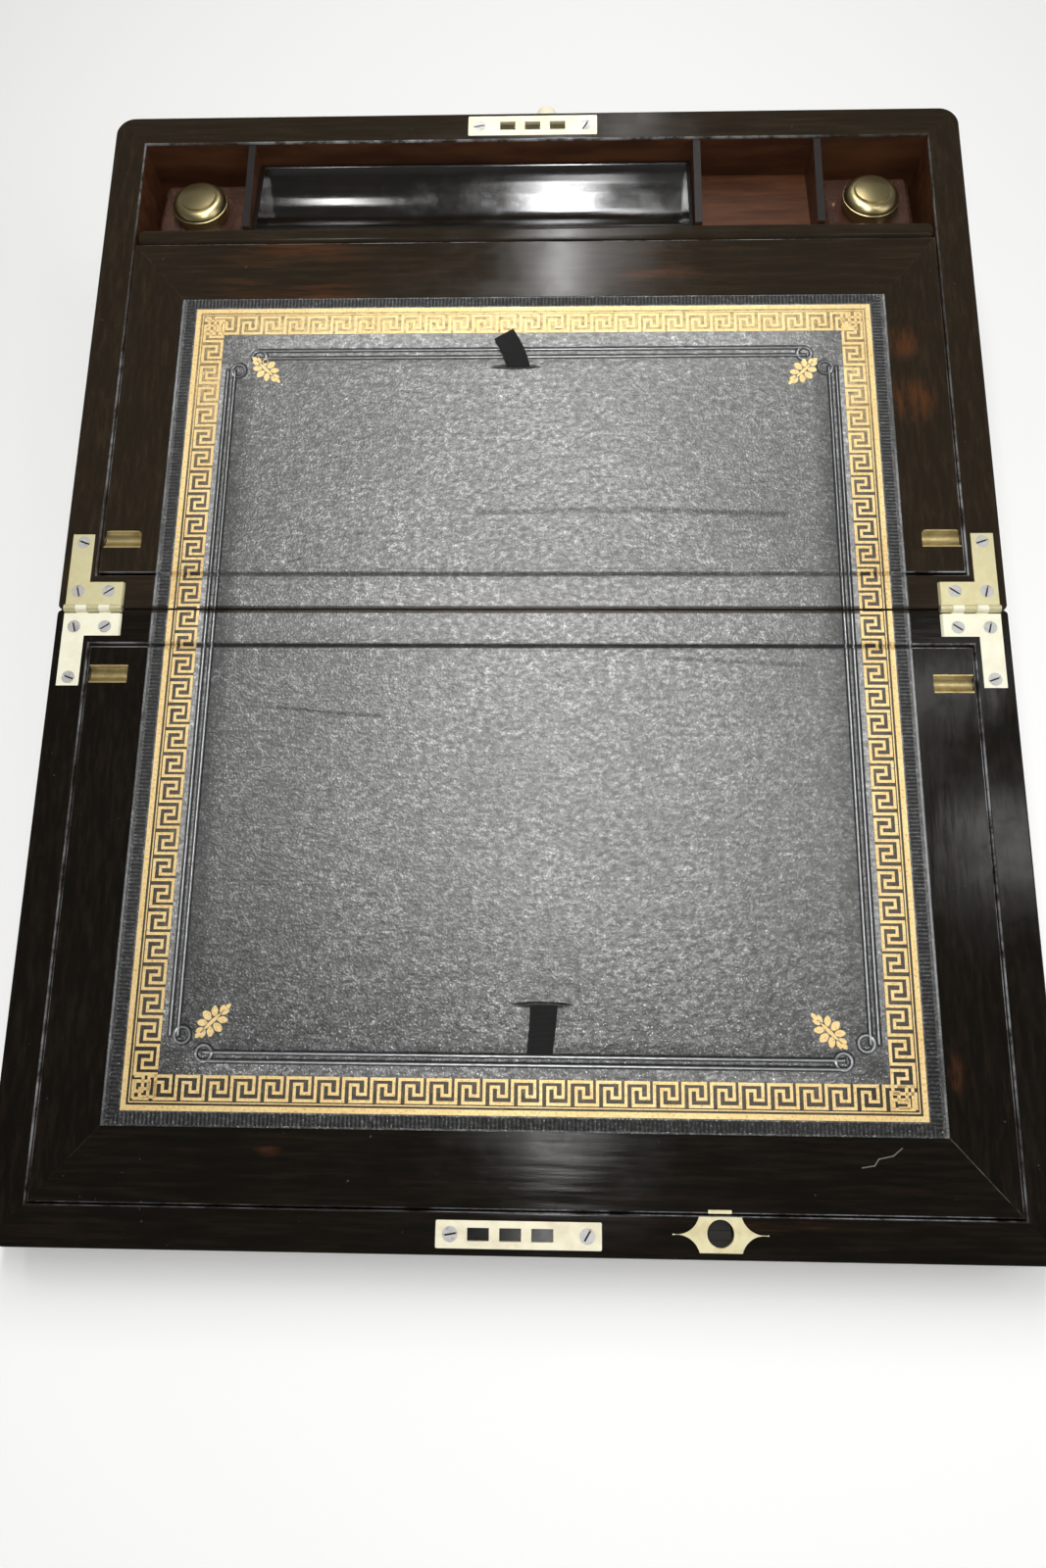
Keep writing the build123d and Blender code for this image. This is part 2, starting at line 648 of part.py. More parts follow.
def flap_leather(side):
    """The sheet of leather on a flap, from the fold to the rail."""
    span = ordered(side, CREASE + CREASE_GAP, LEATHER_END_S[side])
    return slope_block((-LEATHER_X, LEATHER_X), span, (LEATHER_BOTTOM_N, LEATHER_TOP_N))


def leather_strip(side):
    """The fixed strip of leather on the hinge wall, from its outer face to the fold."""
    span = ordered(side, LEATHER_FROM_HINGE, CREASE - CREASE_GAP)
    return slope_block((-LEATHER_X, LEATHER_X), span, (LEATHER_BOTTOM_N, LEATHER_TOP_N))


def ribbon(side):
    """The ribbon tab that a flap is lifted by: a short foot, then a low arch to its tail."""
    root = LEATHER_END_S[side] - RIBBON_FROM_LEATHER_END[side]
    arch = RIBBON_LENGTH - RIBBON_FOOT
    under = [(root, LEATHER_TOP_N)]
    for step in range(RIBBON_STEPS + 1):
        share = step / RIBBON_STEPS
        lift = RIBBON_LIFT[side] * 4 * share * (1 - share) + RIBBON_TAIL_LIFT * share
        under.append((root + RIBBON_FOOT + arch * share, LEATHER_TOP_N + lift))
    over = [(s, n + RIBBON_THICKNESS) for s, n in reversed(under)]
    profile = make_face(Polyline(*[(side * s, n) for s, n in under + over], close=True))
    strip = extrude(Plane.YZ * profile, amount=RIBBON_WIDTH / 2, both=True)
    return SLOPE * Pos(RIBBON_X[side], 0, 0) * strip


# ---- pen section ----


def divider():
    """The board between the storage and the pen section; its top is the flap's ledge."""
    board = block((-INNER_X, INNER_X), (DIVIDER_NEAR_Y, DIVIDER_FAR_Y), (BOARD, HEIGHT))
    return board - slope_block((-WIDTH, WIDTH), (0, OUTER_S), (RAIL_BOTTOM_N, HEIGHT))


def divider_rail():
    """The round-ended moulding on the divider."""
    half_width = DIVIDER_RAIL_WIDTH / 2
    length = 2 * (INNER_X - DIVIDER_RAIL_END_GAP)
    outline = RectangleRounded(length, DIVIDER_RAIL_WIDTH, DIVIDER_RAIL_END_RADIUS)
    bar = extrude(outline, amount=DIVIDER_RAIL_HEIGHT)
    bar = fillet(bar.edges().group_by(Axis.Z)[-1], DIVIDER_RAIL_ROUNDING)
    return SLOPE * Pos(0, RAIL_NEAR_S + half_width, RAIL_BOTTOM_N) * bar


def pen_floor():
    """The board under the whole pen section."""
    return block(
        (-INNER_X, INNER_X),
        (DIVIDER_FAR_Y, LOCK_WALL_INNER_Y),
        (PEN_FLOOR_TOP - PEN_FLOOR, PEN_FLOOR_TOP),
    )


def partition(x):
    """A thin upright board across the pen section, its top parallel to the slope."""
    board = block(
        (x - PARTITION / 2, x + PARTITION / 2),
        (DIVIDER_FAR_Y, LOCK_WALL_INNER_Y),
        (PEN_FLOOR_TOP, HEIGHT),
    )
    return board - slope_block((-WIDTH, WIDTH), (0, OUTER_S), (-PARTITION_RECESS, HEIGHT))


def well_floor():
    """The raised floor of the open well."""
    return block(
        (WELL_PARTITION_X + PARTITION / 2, INKWELL_PARTITION_X - PARTITION / 2),
        (DIVIDER_FAR_Y, LOCK_WALL_INNER_Y),
        (WELL_FLOOR_TOP - WELL_FLOOR, WELL_FLOOR_TOP),
    )


def pen_tray():
    """The lift-out pen tray: a block with one long round-bottomed hollow."""
    length = TRAY_RIGHT_X - TRAY_LEFT_X - 2 * TRAY_FIT
    width = PEN_WIDTH_Y - 2 * TRAY_FIT
    body = Pos(0, 0, TRAY_HEIGHT / 2) * Box(length, width, TRAY_HEIGHT)
    half_chord = width / 2 - TRAY_LIP
    radius = (half_chord**2 + TRAY_HOLLOW**2) / (2 * TRAY_HOLLOW)
    scoop = Rot(0, 90, 0) * Cylinder(radius, length - 2 * TRAY_END)
    body -= Pos(0, 0, TRAY_HEIGHT + radius - TRAY_HOLLOW) * scoop
    body = fillet(body.edges().filter_by(Axis.X).group_by(Axis.Z)[-1], TRAY_LIP_ROUNDING)
    middle_x = (TRAY_LEFT_X + TRAY_RIGHT_X) / 2
    return Pos(middle_x, PEN_MIDDLE_Y, TRAY_TOP - TRAY_HEIGHT) * body


def tray_bearers():
    """The two strips on the partitions that the pen tray rests on."""
    top = TRAY_TOP - TRAY_HEIGHT - REST_GAP
    across = (DIVIDER_FAR_Y, LOCK_WALL_INNER_Y)
    up = (top - TRAY_BEARER, top)
    left = block((TRAY_LEFT_X, TRAY_LEFT_X + TRAY_BEARER), across, up)
    right = block((TRAY_RIGHT_X - TRAY_BEARER, TRAY_RIGHT_X), across, up)
    return Compound([left, right])


# ---- inkwells ----


def turned(outline):
    """A solid turned about z from an outline of (radius, height) points."""
    return revolve(Plane.XZ * make_face(Polyline(*outline, close=True)), axis=Axis.Z)


def ink_bottle():
    """A square glass bottle with a sloped shoulder, a round hollow and a neck."""
    plan = RectangleRounded(BOTTLE_WIDTH, BOTTLE_WIDTH, BOTTLE_CORNER_RADIUS)
    body = extrude(plan, amount=BOTTLE_HEIGHT)
    body = chamfer(body.edges().group_by(Axis.Z)[-1], BOTTLE_SHOULDER)
    neck_top = BOTTLE_HEIGHT + NECK_HEIGHT
    body += turned(
        [(0, BOTTLE_BASE), (NECK_RADIUS, BOTTLE_BASE), (NECK_RADIUS, neck_top), (0, neck_top)]
    )
    roof = BOTTLE_HEIGHT - BOTTLE_ROOF
    hollow = [
        (0, BOTTLE_BASE),
        (BOTTLE_HOLLOW_RADIUS, BOTTLE_BASE),
        (BOTTLE_HOLLOW_RADIUS, roof),
        (NECK_BORE_RADIUS, roof),
        (NECK_BORE_RADIUS, neck_top + 1),
        (0, neck_top + 1),
    ]
    return body - turned(hollow)


def ink_collar():
    """The flanged brass collar cemented round the bottle's neck."""
    inner = NECK_RADIUS + COLLAR_FIT
    outline = [
        (inner, 0),
        (COLLAR_FLANGE_RADIUS, 0),
        (COLLAR_FLANGE_RADIUS, COLLAR_FLANGE),
        (COLLAR_RADIUS, COLLAR_FLANGE),
        (COLLAR_RADIUS, COLLAR_HEIGHT),
        (inner, COLLAR_HEIGHT),
    ]
    return Pos(0, 0, BOTTLE_HEIGHT) * turned(outline)


def shallow_dome(radius, low, high):
    """The arc of a shallow dome, from its edge to the axis, centred on the axis."""
    rise = high - low
    curvature_radius = (radius**2 + rise**2) / (2 * rise)
    half_angle = asin(radius / curvature_radius) / 2
    middle_x = curvature_radius * sin(half_angle)
    middle_z = high - curvature_radius * (1 - cos(half_angle))
    return ThreePointArc((radius, low), (middle_x, middle_z), (0, high))


def ink_cap():
    """The domed brass cap: a skirt, an overhanging brim, a shoulder and a raised round top."""
    bore = COLLAR_RADIUS + CAP_GAP
    skirt = bore + CAP_WALL
    roof = CAP_SKIRT_HEIGHT
    brim_bottom = CAP_BRIM_FROM_FOOT
    brim_top = brim_bottom + CAP_BRIM
    brim_foot = CAP_RADIUS - CAP_BRIM / 2
    top = CAP_HEIGHT - CAP_BUTTON_DOME
    shoulder_top = top - CAP_BUTTON_RISE
    shoulder_middle = (
        (brim_foot + CAP_BUTTON_RADIUS) / 2 + CAP_SHOULDER_BULGE,
        (brim_top + shoulder_top) / 2 + CAP_SHOULDER_BULGE,
    )
    lines = [
        Polyline((0, roof), (bore, roof), (bore, 0), (skirt, 0), (skirt, brim_bottom)),
        Line((skirt, brim_bottom), (brim_foot, brim_bottom)),
        ThreePointArc(
            (brim_foot, brim_bottom), (CAP_RADIUS, brim_bottom + CAP_BRIM / 2), (brim_foot, brim_top)
        ),
        ThreePointArc((brim_foot, brim_top), shoulder_middle, (CAP_BUTTON_RADIUS, shoulder_top)),
        Line((CAP_BUTTON_RADIUS, shoulder_top), (CAP_BUTTON_RADIUS, top)),
        shallow_dome(CAP_BUTTON_RADIUS, top, CAP_HEIGHT),
        Line((0, CAP_HEIGHT), (0, roof)),
    ]
    cap = revolve(Plane.XZ * make_face(Curve() + lines), axis=Axis.Z)
    return Pos(0, 0, BOTTLE_HEIGHT + COLLAR_FLANGE + REST_GAP) * cap


def inkwell_place(hand):
    """Where an inkwell stands, on the right for hand = 1 and on the left for -1."""
    return Pos(hand * INKWELL_X, PEN_MIDDLE_Y, PEN_FLOOR_TOP + REST_GAP)


# ---- lock ----


def slotted_plate(side, slot_x, slot_length):
    """A let-in brass plate with three slots and two screw holes."""
    outline = RectangleRounded(PLATE_LENGTH, PLATE_WIDTH[side], PLATE_CORNER_RADIUS)
    for x in slot_x:
        outline -= Pos(x, 0) * Rectangle(slot_length, SLOT_WIDTH)
    plate = extrude(outline, amount=PLATE_THICKNESS)
    plate = SLOPE * Pos(0, side * LOCK_S, PLATE_BOTTOM_N) * plate
    for hole in plate_screw_holes(side):
        plate -= hole
    return plate


def lock_case():
    """The lock's box under its plate, with a pivot pin for each claw."""
    half_length, half_width = CASE_LENGTH / 2, CASE_WIDTH / 2
    bottom = LOCK_Z - CASE_DEPTH
    case = block(
        (-half_length, half_length),
        (LOCK_Y - half_width, LOCK_Y + half_width),
        (bottom, LOCK_Z + OUT),
    )
    case -= block(
        (CASE_SHELL - half_length, half_length - CASE_SHELL),
        (LOCK_Y - half_width + CASE_SHELL, LOCK_Y + half_width - CASE_SHELL),
        (bottom + CASE_SHELL, LOCK_Z + 2 * OUT),
    )
    for x in SLOT_X:
        pin_y = (LOCK_Y - half_width, LOCK_Y + half_width)
        pin_z = LOCK_Z - CLAW_PIVOT_DEPTH
        case += rod_along_y(CLAW_PIN_RADIUS, x - CLAW_PIVOT_OFFSET, pin_y, pin_z)
    case -= slope_block((-WIDTH, WIDTH), (0, 2 * OUTER_S), (PLATE_BOTTOM_N, HEIGHT))
    hole = BARREL_RADIUS + BARREL_CLEARANCE
    case -= rod_along_y(hole, KEY_X, (LOCK_Y, LOCK_Y + OUT), LOCK_Z - KEY_DEPTH)
    return case


def ring_sector(inner, outer, start, span):
    """A flat piece of a ring, from one angle on."""
    arcs = [CenterArc((0, 0), radius, start, span) for radius in (inner, outer)]
    ends = [Line(arcs[0] @ 0, arcs[1] @ 0), Line(arcs[0] @ 1, arcs[1] @ 1)]
    return make_face(Curve() + arcs + ends)


def lock_claw(slot_x):
    """One curled claw, drawn down into the case, pivoted to the left of its slot."""
    root = CLAW_TIP_ANGLE - CLAW_SPAN
    reach = (CLAW_INNER_RADIUS + CLAW_OUTER_RADIUS) / 2
    lean = degrees(asin(CLAW_ARM_WIDTH / 2 / reach))
    outline = ring_sector(CLAW_INNER_RADIUS, CLAW_OUTER_RADIUS, root, CLAW_SPAN)
    outline += Rot(0, 0, root + lean) * Pos(reach / 2, 0) * Rectangle(reach, CLAW_ARM_WIDTH)
    outline += Circle(CLAW_HUB_RADIUS)
    outline -= Circle(CLAW_PIN_RADIUS + CLAW_PIN_CLEARANCE)
    pivot = (slot_x - CLAW_PIVOT_OFFSET, LOCK_Y, LOCK_Z - CLAW_PIVOT_DEPTH)
    face = Plane(origin=pivot, x_dir=(1, 0, 0), z_dir=(0, -1, 0))
    return face * extrude(outline, amount=CLAW_THICKNESS / 2, both=True)


def turned_along_y(outline):
    """A solid turned about the key's axis from (radius, distance outwards) points."""
    solid = revolve(Plane.XZ * make_face(Polyline(*outline, close=True)), axis=Axis.Z)
    return Pos(KEY_X, LOCK_WALL_OUTER_Y, LOCK_Z - KEY_DEPTH) * Rot(-90, 0, 0) * solid


def key_nozzle():
    """The brass nozzle round the keyhole, on the outer face of the lock wall."""
    bore = BARREL_RADIUS + BARREL_CLEARANCE
    outline = [
        (bore, 0),
        (NOZZLE_RADIUS, 0),
        (NOZZLE_RADIUS, NOZZLE_FLANGE),
        (NOZZLE_TIP_RADIUS + NOZZLE_STEP, NOZZLE_FLANGE + NOZZLE_STEP),
        (NOZZLE_TIP_RADIUS, NOZZLE_REACH - NOZZLE_EDGE),
        (NOZZLE_TIP_RADIUS - NOZZLE_EDGE, NOZZLE_REACH),
        (bore, NOZZLE_REACH),
    ]
    return turned_along_y(outline)


def key_barrel():
    """The turning barrel inside the nozzle, with its key bore and bit slot."""
    inner_end = LOCK_Y + BARREL_INTO_CASE - LOCK_WALL_OUTER_Y
    mouth = NOZZLE_REACH - BARREL_RECESS
    bore_end = mouth - BARREL_BORE_DEPTH
    barrel = turned_along_y(
        [
            (0, inner_end),
            (BARREL_RADIUS, inner_end),
            (BARREL_RADIUS, mouth),
            (BARREL_BORE_RADIUS, mouth),
            (BARREL_BORE_RADIUS, bore_end),
            (0, bore_end),
        ]
    )
    bit = block(
        (KEY_X - BARREL_BIT_SLOT / 2, KEY_X + BARREL_BIT_SLOT / 2),
        (LOCK_WALL_OUTER_Y + bore_end, LOCK_WALL_OUTER_Y + OUT),
        (LOCK_Z - KEY_DEPTH - OUT, LOCK_Z - KEY_DEPTH),
    )
    return barrel - bit


# ---- flap catch ----


def catch_outline():
    """The catch plate's outline: flat top and bottom, hollow curves and a point at each side."""
    half, tip, height = CATCH_FLAT / 2, CATCH_LENGTH / 2, CATCH_WIDTH / 2
    lines = [Line((-half, height), (half, height)), Line((-half, -height), (half, -height))]
    for hand in (1, -1):
        ends = [(hand * tip, way * CATCH_TIP / 2) for way in (1, -1)]
        lines.append(Line(*ends))
        for way, end in zip((1, -1), ends):
            corner = (hand * half, way * height)
            lines.append(SagittaArc(corner, end, -hand * way * CATCH_SAGITTA))
    return make_face(Curve() + lines)


def catch_place(x=0.0, s=0.0, n=0.0):
    """A place in the lid's rim, from the middle of the catch plate."""
    return SLOPE * Pos(CATCH_X + x, s - CATCH_S, n)


def catch_plate():
    """The pointed brass plate over the catch, with its round thumb hole."""
    plate = extrude(catch_outline(), amount=CATCH_THICKNESS)
    plate -= Pos(0, CATCH_HOLE_OFFSET) * Cylinder(CATCH_HOLE_RADIUS, 3 * CATCH_THICKNESS)
    plate -= Pos(CATCH_RIVET_OFFSET) * Cylinder(CATCH_RIVET_RADIUS, 3 * CATCH_THICKNESS)
    return catch_place(n=CATCH_BOTTOM_N) * plate


def catch_rivet():
    """The rivet that holds the catch plate."""
    shank = Cylinder(CATCH_RIVET_RADIUS, CATCH_RIVET_LENGTH)
    return catch_place(CATCH_RIVET_OFFSET, n=-HARDWARE_SINK - CATCH_RIVET_LENGTH / 2) * shank


def catch_mortises():
    """What is cut out of the lid's lock wall for the catch."""
    bed = extrude(offset(catch_outline(), HARDWARE_FIT, kind=Kind.INTERSECTION), amount=OUT)
    half_width = BOLT_WIDTH / 2 + BOLT_CLEARANCE
    pocket = slope_block(
        (CATCH_X - half_width, CATCH_X + half_width),
        (-SPRING_BACK_S, -INNER_S + OUT),
        (-BOLT_DEPTH - BOLT_CLEARANCE, CATCH_BOTTOM_N),
    )
    return [catch_place(n=CATCH_BOTTOM_N) * bed, pocket, catch_rivet()]


def catch_bolt():
    """The sliding bolt, drawn back: a plate with a thumb block and a bevelled nose."""
    under = -BOLT_DEPTH
    upper = under + BOLT_THICKNESS
    half = BOLT_WIDTH / 2
    nose_half = BOLT_NOSE_WIDTH / 2
    nose = block((-nose_half, nose_half), (-BOLT_FRONT_S, -NOSE_TIP_S), (under, upper))
    tip = nose.edges().filter_by(Axis.X).group_by(Axis.Z)[-1].sort_by(Axis.Y)[-1]
    bolt = chamfer(tip, BOLT_NOSE_BEVEL)
    bolt += block((-half, half), (-BOLT_BACK_S, -BOLT_FRONT_S), (under, upper))
    thumb_s = -NOSE_TIP_S - THUMB_FROM_NOSE_TIP
    bolt += block((-half, half), (thumb_s - THUMB_LENGTH, thumb_s), (under, upper + THUMB_HEIGHT))
    return SLOPE * Pos(CATCH_X, 0, 0) * bolt


def catch_spring():
    """The bowed leaf spring behind the bolt, pressed together."""
    half = SPRING_LENGTH / 2
    back = SPRING_BACK_S
    front = back - SPRING_BEND
    lines = [
        ThreePointArc((-half, -back), (0, -front), (half, -back)),
        ThreePointArc(
            (SPRING_THICKNESS - half, -back),
            (0, -front - SPRING_THICKNESS),
            (half - SPRING_THICKNESS, -back),
        ),
        Line((-half, -back), (SPRING_THICKNESS - half, -back)),
        Line((half, -back), (half - SPRING_THICKNESS, -back)),
    ]
    floor = -BOLT_DEPTH - BOLT_CLEARANCE
    strip = extrude(make_face(Curve() + lines), amount=BOLT_THICKNESS, dir=(0, 0, 1))
    return SLOPE * Pos(CATCH_X, 0, floor) * strip


def strike_window(depth):
    """The opening for the bolt's nose in the end of the lid's flap."""
    half = BOLT_NOSE_WIDTH / 2 + BOLT_CLEARANCE
    low = -BOLT_DEPTH - BOLT_CLEARANCE
    high = -BOLT_DEPTH + BOLT_THICKNESS + BOLT_CLEARANCE
    end = -FLAP_END_S[LID]
    return slope_block((CATCH_X - half, CATCH_X + half), (end - depth, end + depth), (low, high))


def strike_body(fit=0.0):
    """The outer shape of the strike: a leg on the rail's top and one down its end."""
    half = STRIKE_WIDTH / 2 + fit
    across = (CATCH_X - half, CATCH_X + half)
    end = -FLAP_END_S[LID]
    bottom = FLAP_TOP_N - STRIKE_HEIGHT - fit
    body = slope_block(across, (end - fit, end + STRIKE_THICKNESS), (bottom, FLAP_TOP_N + fit))
    top_leg = (FLAP_TOP_N - STRIKE_THICKNESS, FLAP_TOP_N + fit)
    return body + slope_block(across, (end - fit, end + STRIKE_LEG + fit), top_leg)


def strike_bed():
    """What is cut out of the lid flap's rail for the strike and the bolt's nose."""
    return strike_body(HARDWARE_FIT) + strike_window(BOLT_TRAVEL + BOLT_CLEARANCE)


def catch_strike():
    """The bent brass strike, with a window for the bolt's nose."""
    return strike_body() - strike_window(BOLT_TRAVEL)


# ---- all pieces ----


def base_pieces():
    """The pieces fixed to the base, and what moves in it, by name."""
    fixed = {
        "base_bottom_board": floor_board(BASE),
        "pen_section_divider": divider(),
        "pen_section_rail": divider_rail(),
        "pen_section_floor": pen_floor(),
        "inkwell_partition_left": partition(-INKWELL_PARTITION_X),
        "inkwell_partition_right": partition(INKWELL_PARTITION_X),
        "well_partition": partition(WELL_PARTITION_X),
        "well_floor": well_floor(),
        "pen_tray_bearers": tray_bearers(),
        "pen_tray": pen_tray(),
        "base_flap_bearers": flap_bearers(BASE),
        "base_leather_strip": leather_strip(BASE),
        "lock_case": lock_case(),
        "lock_plate": slotted_plate(BASE, SLOT_X, LOCK_SLOT_LENGTH),
        "lock_plate_screws": plate_screws(BASE),
        "key_nozzle": key_nozzle(),
        "key_barrel": key_barrel(),
        "base_hinge_leaves": both_hands(hinge_leaf(BASE)),
        "hinge_pins": both_hands(hinge_pin()),
        "base_hinge_screws": hinge_screws(BASE),
    }
    walls = {f"base_{name}_wall": wall for name, wall in carcase(BASE).items()}
    names = ("left", "middle", "right")
    claws = {f"lock_claw_{name}": lock_claw(x) for name, x in zip(names, SLOT_X)}
    return fixed | walls | claws


def inkwell_pieces():
    """The two inkwells, by name."""
    pieces = {}
    for name, hand in (("left", -1), ("right", 1)):
        place = inkwell_place(hand)
        pieces[f"inkwell_bottle_{name}"] = place * ink_bottle()
        pieces[f"inkwell_collar_{name}"] = place * ink_collar()
        pieces[f"inkwell_cap_{name}"] = place * ink_cap()
    return pieces


def lid_pieces():
    """The pieces fixed to the lid, and the catch in it, by name."""
    fixed = {
        "lid_top_board": floor_board(LID),
        "lid_flap_bearers": flap_bearers(LID),
        "lid_leather_strip": leather_strip(LID),
        "striker_plate": slotted_plate(
            LID, [x - STRIKER_OFFSET for x in SLOT_X], STRIKER_SLOT_LENGTH
        ),
        "striker_plate_screws": plate_screws(LID),
        "catch_plate": catch_plate(),
        "catch_rivet": catch_rivet(),
        "catch_spring": catch_spring(),
        "catch_bolt": catch_bolt(),
        "lid_hinge_leaves": both_hands(hinge_leaf(LID)),
        "lid_hinge_screws": hinge_screws(LID),
    }
    walls = {f"lid_{name}_wall": wall for name, wall in carcase(LID).items()}
    return fixed | walls


def flap_pieces(side, name):
    """The pieces of one flap, by name."""
    return {
        f"{name}_flap_frame": flap_frame(side),
        f"{name}_flap_panel": flap_panel(side),
        f"{name}_flap_leather": flap_leather(side),
        f"{name}_flap_ribbon": ribbon(side),
        f"{name}_flap_troughs": troughs(side),
    }


def all_pieces():
    """Every piece of the writing slope, by name."""
    flaps = flap_pieces(BASE, "base") | flap_pieces(LID, "lid")
    return base_pieces() | inkwell_pieces() | lid_pieces() | flaps | {"catch_strike": catch_strike()}


os.makedirs("parts", exist_ok=True)
for node, piece in all_pieces().items():
    export_step(piece, f"parts/{node}.step")
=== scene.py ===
"""The writing slope, dressed: wood, tooled leather, gilding, metalwork and the photograph's view."""

import json
import logging
import math
from collections.abc import Sequence
from dataclasses import dataclass, field
from enum import Enum
from functools import partial, reduce

import bmesh
import bpy
from bmesh.types import BMesh
from bpy.types import Material, Node, NodeSocket, Object
from mathutils import Matrix, Vector

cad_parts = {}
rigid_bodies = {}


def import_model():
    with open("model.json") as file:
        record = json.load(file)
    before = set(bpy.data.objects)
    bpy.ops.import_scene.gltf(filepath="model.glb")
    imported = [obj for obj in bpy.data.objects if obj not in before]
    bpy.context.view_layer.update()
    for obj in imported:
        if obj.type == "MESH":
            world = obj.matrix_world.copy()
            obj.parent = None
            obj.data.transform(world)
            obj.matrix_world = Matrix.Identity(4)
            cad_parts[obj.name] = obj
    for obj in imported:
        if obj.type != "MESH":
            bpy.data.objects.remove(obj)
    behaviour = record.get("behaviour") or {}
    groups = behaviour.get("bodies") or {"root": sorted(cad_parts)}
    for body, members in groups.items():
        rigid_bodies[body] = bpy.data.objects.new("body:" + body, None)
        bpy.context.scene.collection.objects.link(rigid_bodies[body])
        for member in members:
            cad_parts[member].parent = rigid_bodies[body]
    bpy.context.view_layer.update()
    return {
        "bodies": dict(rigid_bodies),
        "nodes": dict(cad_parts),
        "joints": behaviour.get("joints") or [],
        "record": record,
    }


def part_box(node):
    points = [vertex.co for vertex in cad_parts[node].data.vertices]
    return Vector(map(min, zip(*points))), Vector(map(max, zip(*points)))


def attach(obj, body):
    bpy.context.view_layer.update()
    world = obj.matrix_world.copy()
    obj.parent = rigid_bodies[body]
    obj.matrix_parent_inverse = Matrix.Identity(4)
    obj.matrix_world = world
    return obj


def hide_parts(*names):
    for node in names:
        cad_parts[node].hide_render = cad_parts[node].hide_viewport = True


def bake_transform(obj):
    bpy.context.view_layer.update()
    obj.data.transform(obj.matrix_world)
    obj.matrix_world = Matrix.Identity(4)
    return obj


log = logging.getLogger("writing_slope")

MM = 0.001
MERGE_DISTANCE = 0.002 * MM
# How far each half's leather folds from the hinge line.
CREASE = 16.5 * MM

Colour = tuple[float, float, float]
Input = NodeSocket | float | Sequence[float]
Point = tuple[float, float]
Range = tuple[float, float]


def rgba(colour: Colour) -> tuple[float, float, float, float]:
    """A colour with full opacity."""
    return (*colour, 1.0)


# ---- the slope and its two halves ----


class Half(Enum):
    """A half of the open box; its value is the sign of s there."""

    BASE = 1
    LID = -1

    @property
    def body(self) -> str:
        """The name of the half's own body."""
        return self.name.lower()

    @property
    def flap(self) -> str:
        """The name of the body of the half's flap."""
        return f"{self.body}_flap"


@dataclass(frozen=True)
class Slope:
    """Slope coordinates: x, then s up the slope from the hinge line, then n square to it."""

    hinge: Vector
    angle: float = math.radians(9.0)

    @classmethod
    def of(cls, frame: dict, axis_height: float = 0.2 * MM) -> "Slope":
        """Find the slope from the axis that the lid folds about.

        Args:
            axis_height: how far the axis stands above the rims.

        Returns:
            The slope, with n = 0 at the rims.
        """
        fold = next(joint for joint in frame["joints"] if joint["name"] == "lid_fold")
        flat = cls(Vector(fold["pos_m"]))
        return cls(flat.hinge - flat.normal * axis_height)

    @property
    def along(self) -> Vector:
        """The direction of growing s."""
        return Vector((0.0, math.cos(self.angle), math.sin(self.angle)))

    @property
    def normal(self) -> Vector:
        """The direction of growing n."""
        return Vector((0.0, -math.sin(self.angle), math.cos(self.angle)))

    @property
    def matrix(self) -> Matrix:
        """What turns slope coordinates into the frame's own."""
        return Matrix.Translation(self.hinge) @ Matrix.Rotation(self.angle, 4, "X")

    def point(self, x: float, s: float, n: float) -> Vector:
        """A point given in slope coordinates, in the frame's own."""
        return self.matrix @ Vector((x, s, n))

    def extent(self, node: Object) -> tuple[Vector, Vector]:
        """Measure a node in slope coordinates.


        Returns:
            Its lowest and highest x, s and n.
        """
        back = self.matrix.inverted()
        places = [back @ vertex.co for vertex in node.data.vertices]
        low = Vector(min(place[i] for place in places) for i in range(3))
        high = Vector(max(place[i] for place in places) for i in range(3))
        return low, high


# ---- what the two halves have of their own: figure, wear and marks, in x and s ----


@dataclass(frozen=True)
class Flame:
    """A red-brown flame in the wood: its middle on the slope, and how far it reaches."""

    x: float
    s: float
    reach: float


@dataclass(frozen=True)
class Wrinkle:
    """A long soft wrinkle in the leather, from point to point in x and s, painted as a line of shade whose
    depth says how dark.
    """

    start: Point
    end: Point
    half_width: float
    depth: float


# A crack in the polish at the near right mitre, from point to point.
CRACK: tuple[Point, ...] = (
    (128.5 * MM, -224.3 * MM),
    (133.3 * MM, -223.5 * MM),
    (134.9 * MM, -221.1 * MM),
    (140.4 * MM, -219.9 * MM),
    (143.9 * MM, -217.1 * MM),
)
FLAMES: dict[Half, tuple[Flame, ...]] = {
    Half.BASE: (
        Flame(-110 * MM, 163 * MM, 45 * MM),
        Flame(60 * MM, 162 * MM, 26 * MM),
        Flame(170 * MM, 100 * MM, 15 * MM),
        Flame(168 * MM, 130 * MM, 11 * MM),
    ),
    Half.LID: (Flame(164 * MM, -190 * MM, 10 * MM), Flame(-96 * MM, -217 * MM, 8 * MM)),
}
WRINKLES: dict[Half, tuple[Wrinkle, ...]] = {
    Half.BASE: (
        Wrinkle((-22 * MM, 45.5 * MM), (48 * MM, 47 * MM), 2.2 * MM, 0.45),
        Wrinkle((48 * MM, 47 * MM), (112 * MM, 44.5 * MM), 2.2 * MM, 0.60),
        Wrinkle((94 * MM, 59 * MM), (104 * MM, 60 * MM), 0.7 * MM, 0.6),
        Wrinkle((-104 * MM, 22 * MM), (-98 * MM, 24 * MM), 1.0 * MM, 0.6),
    ),
    Half.LID: (
        Wrinkle((-108 * MM, -44 * MM), (-61 * MM, -48 * MM), 1.4 * MM, 0.60),
        Wrinkle((60 * MM, -22 * MM), (118 * MM, -25 * MM), 1.5 * MM, 0.45),
    ),
}
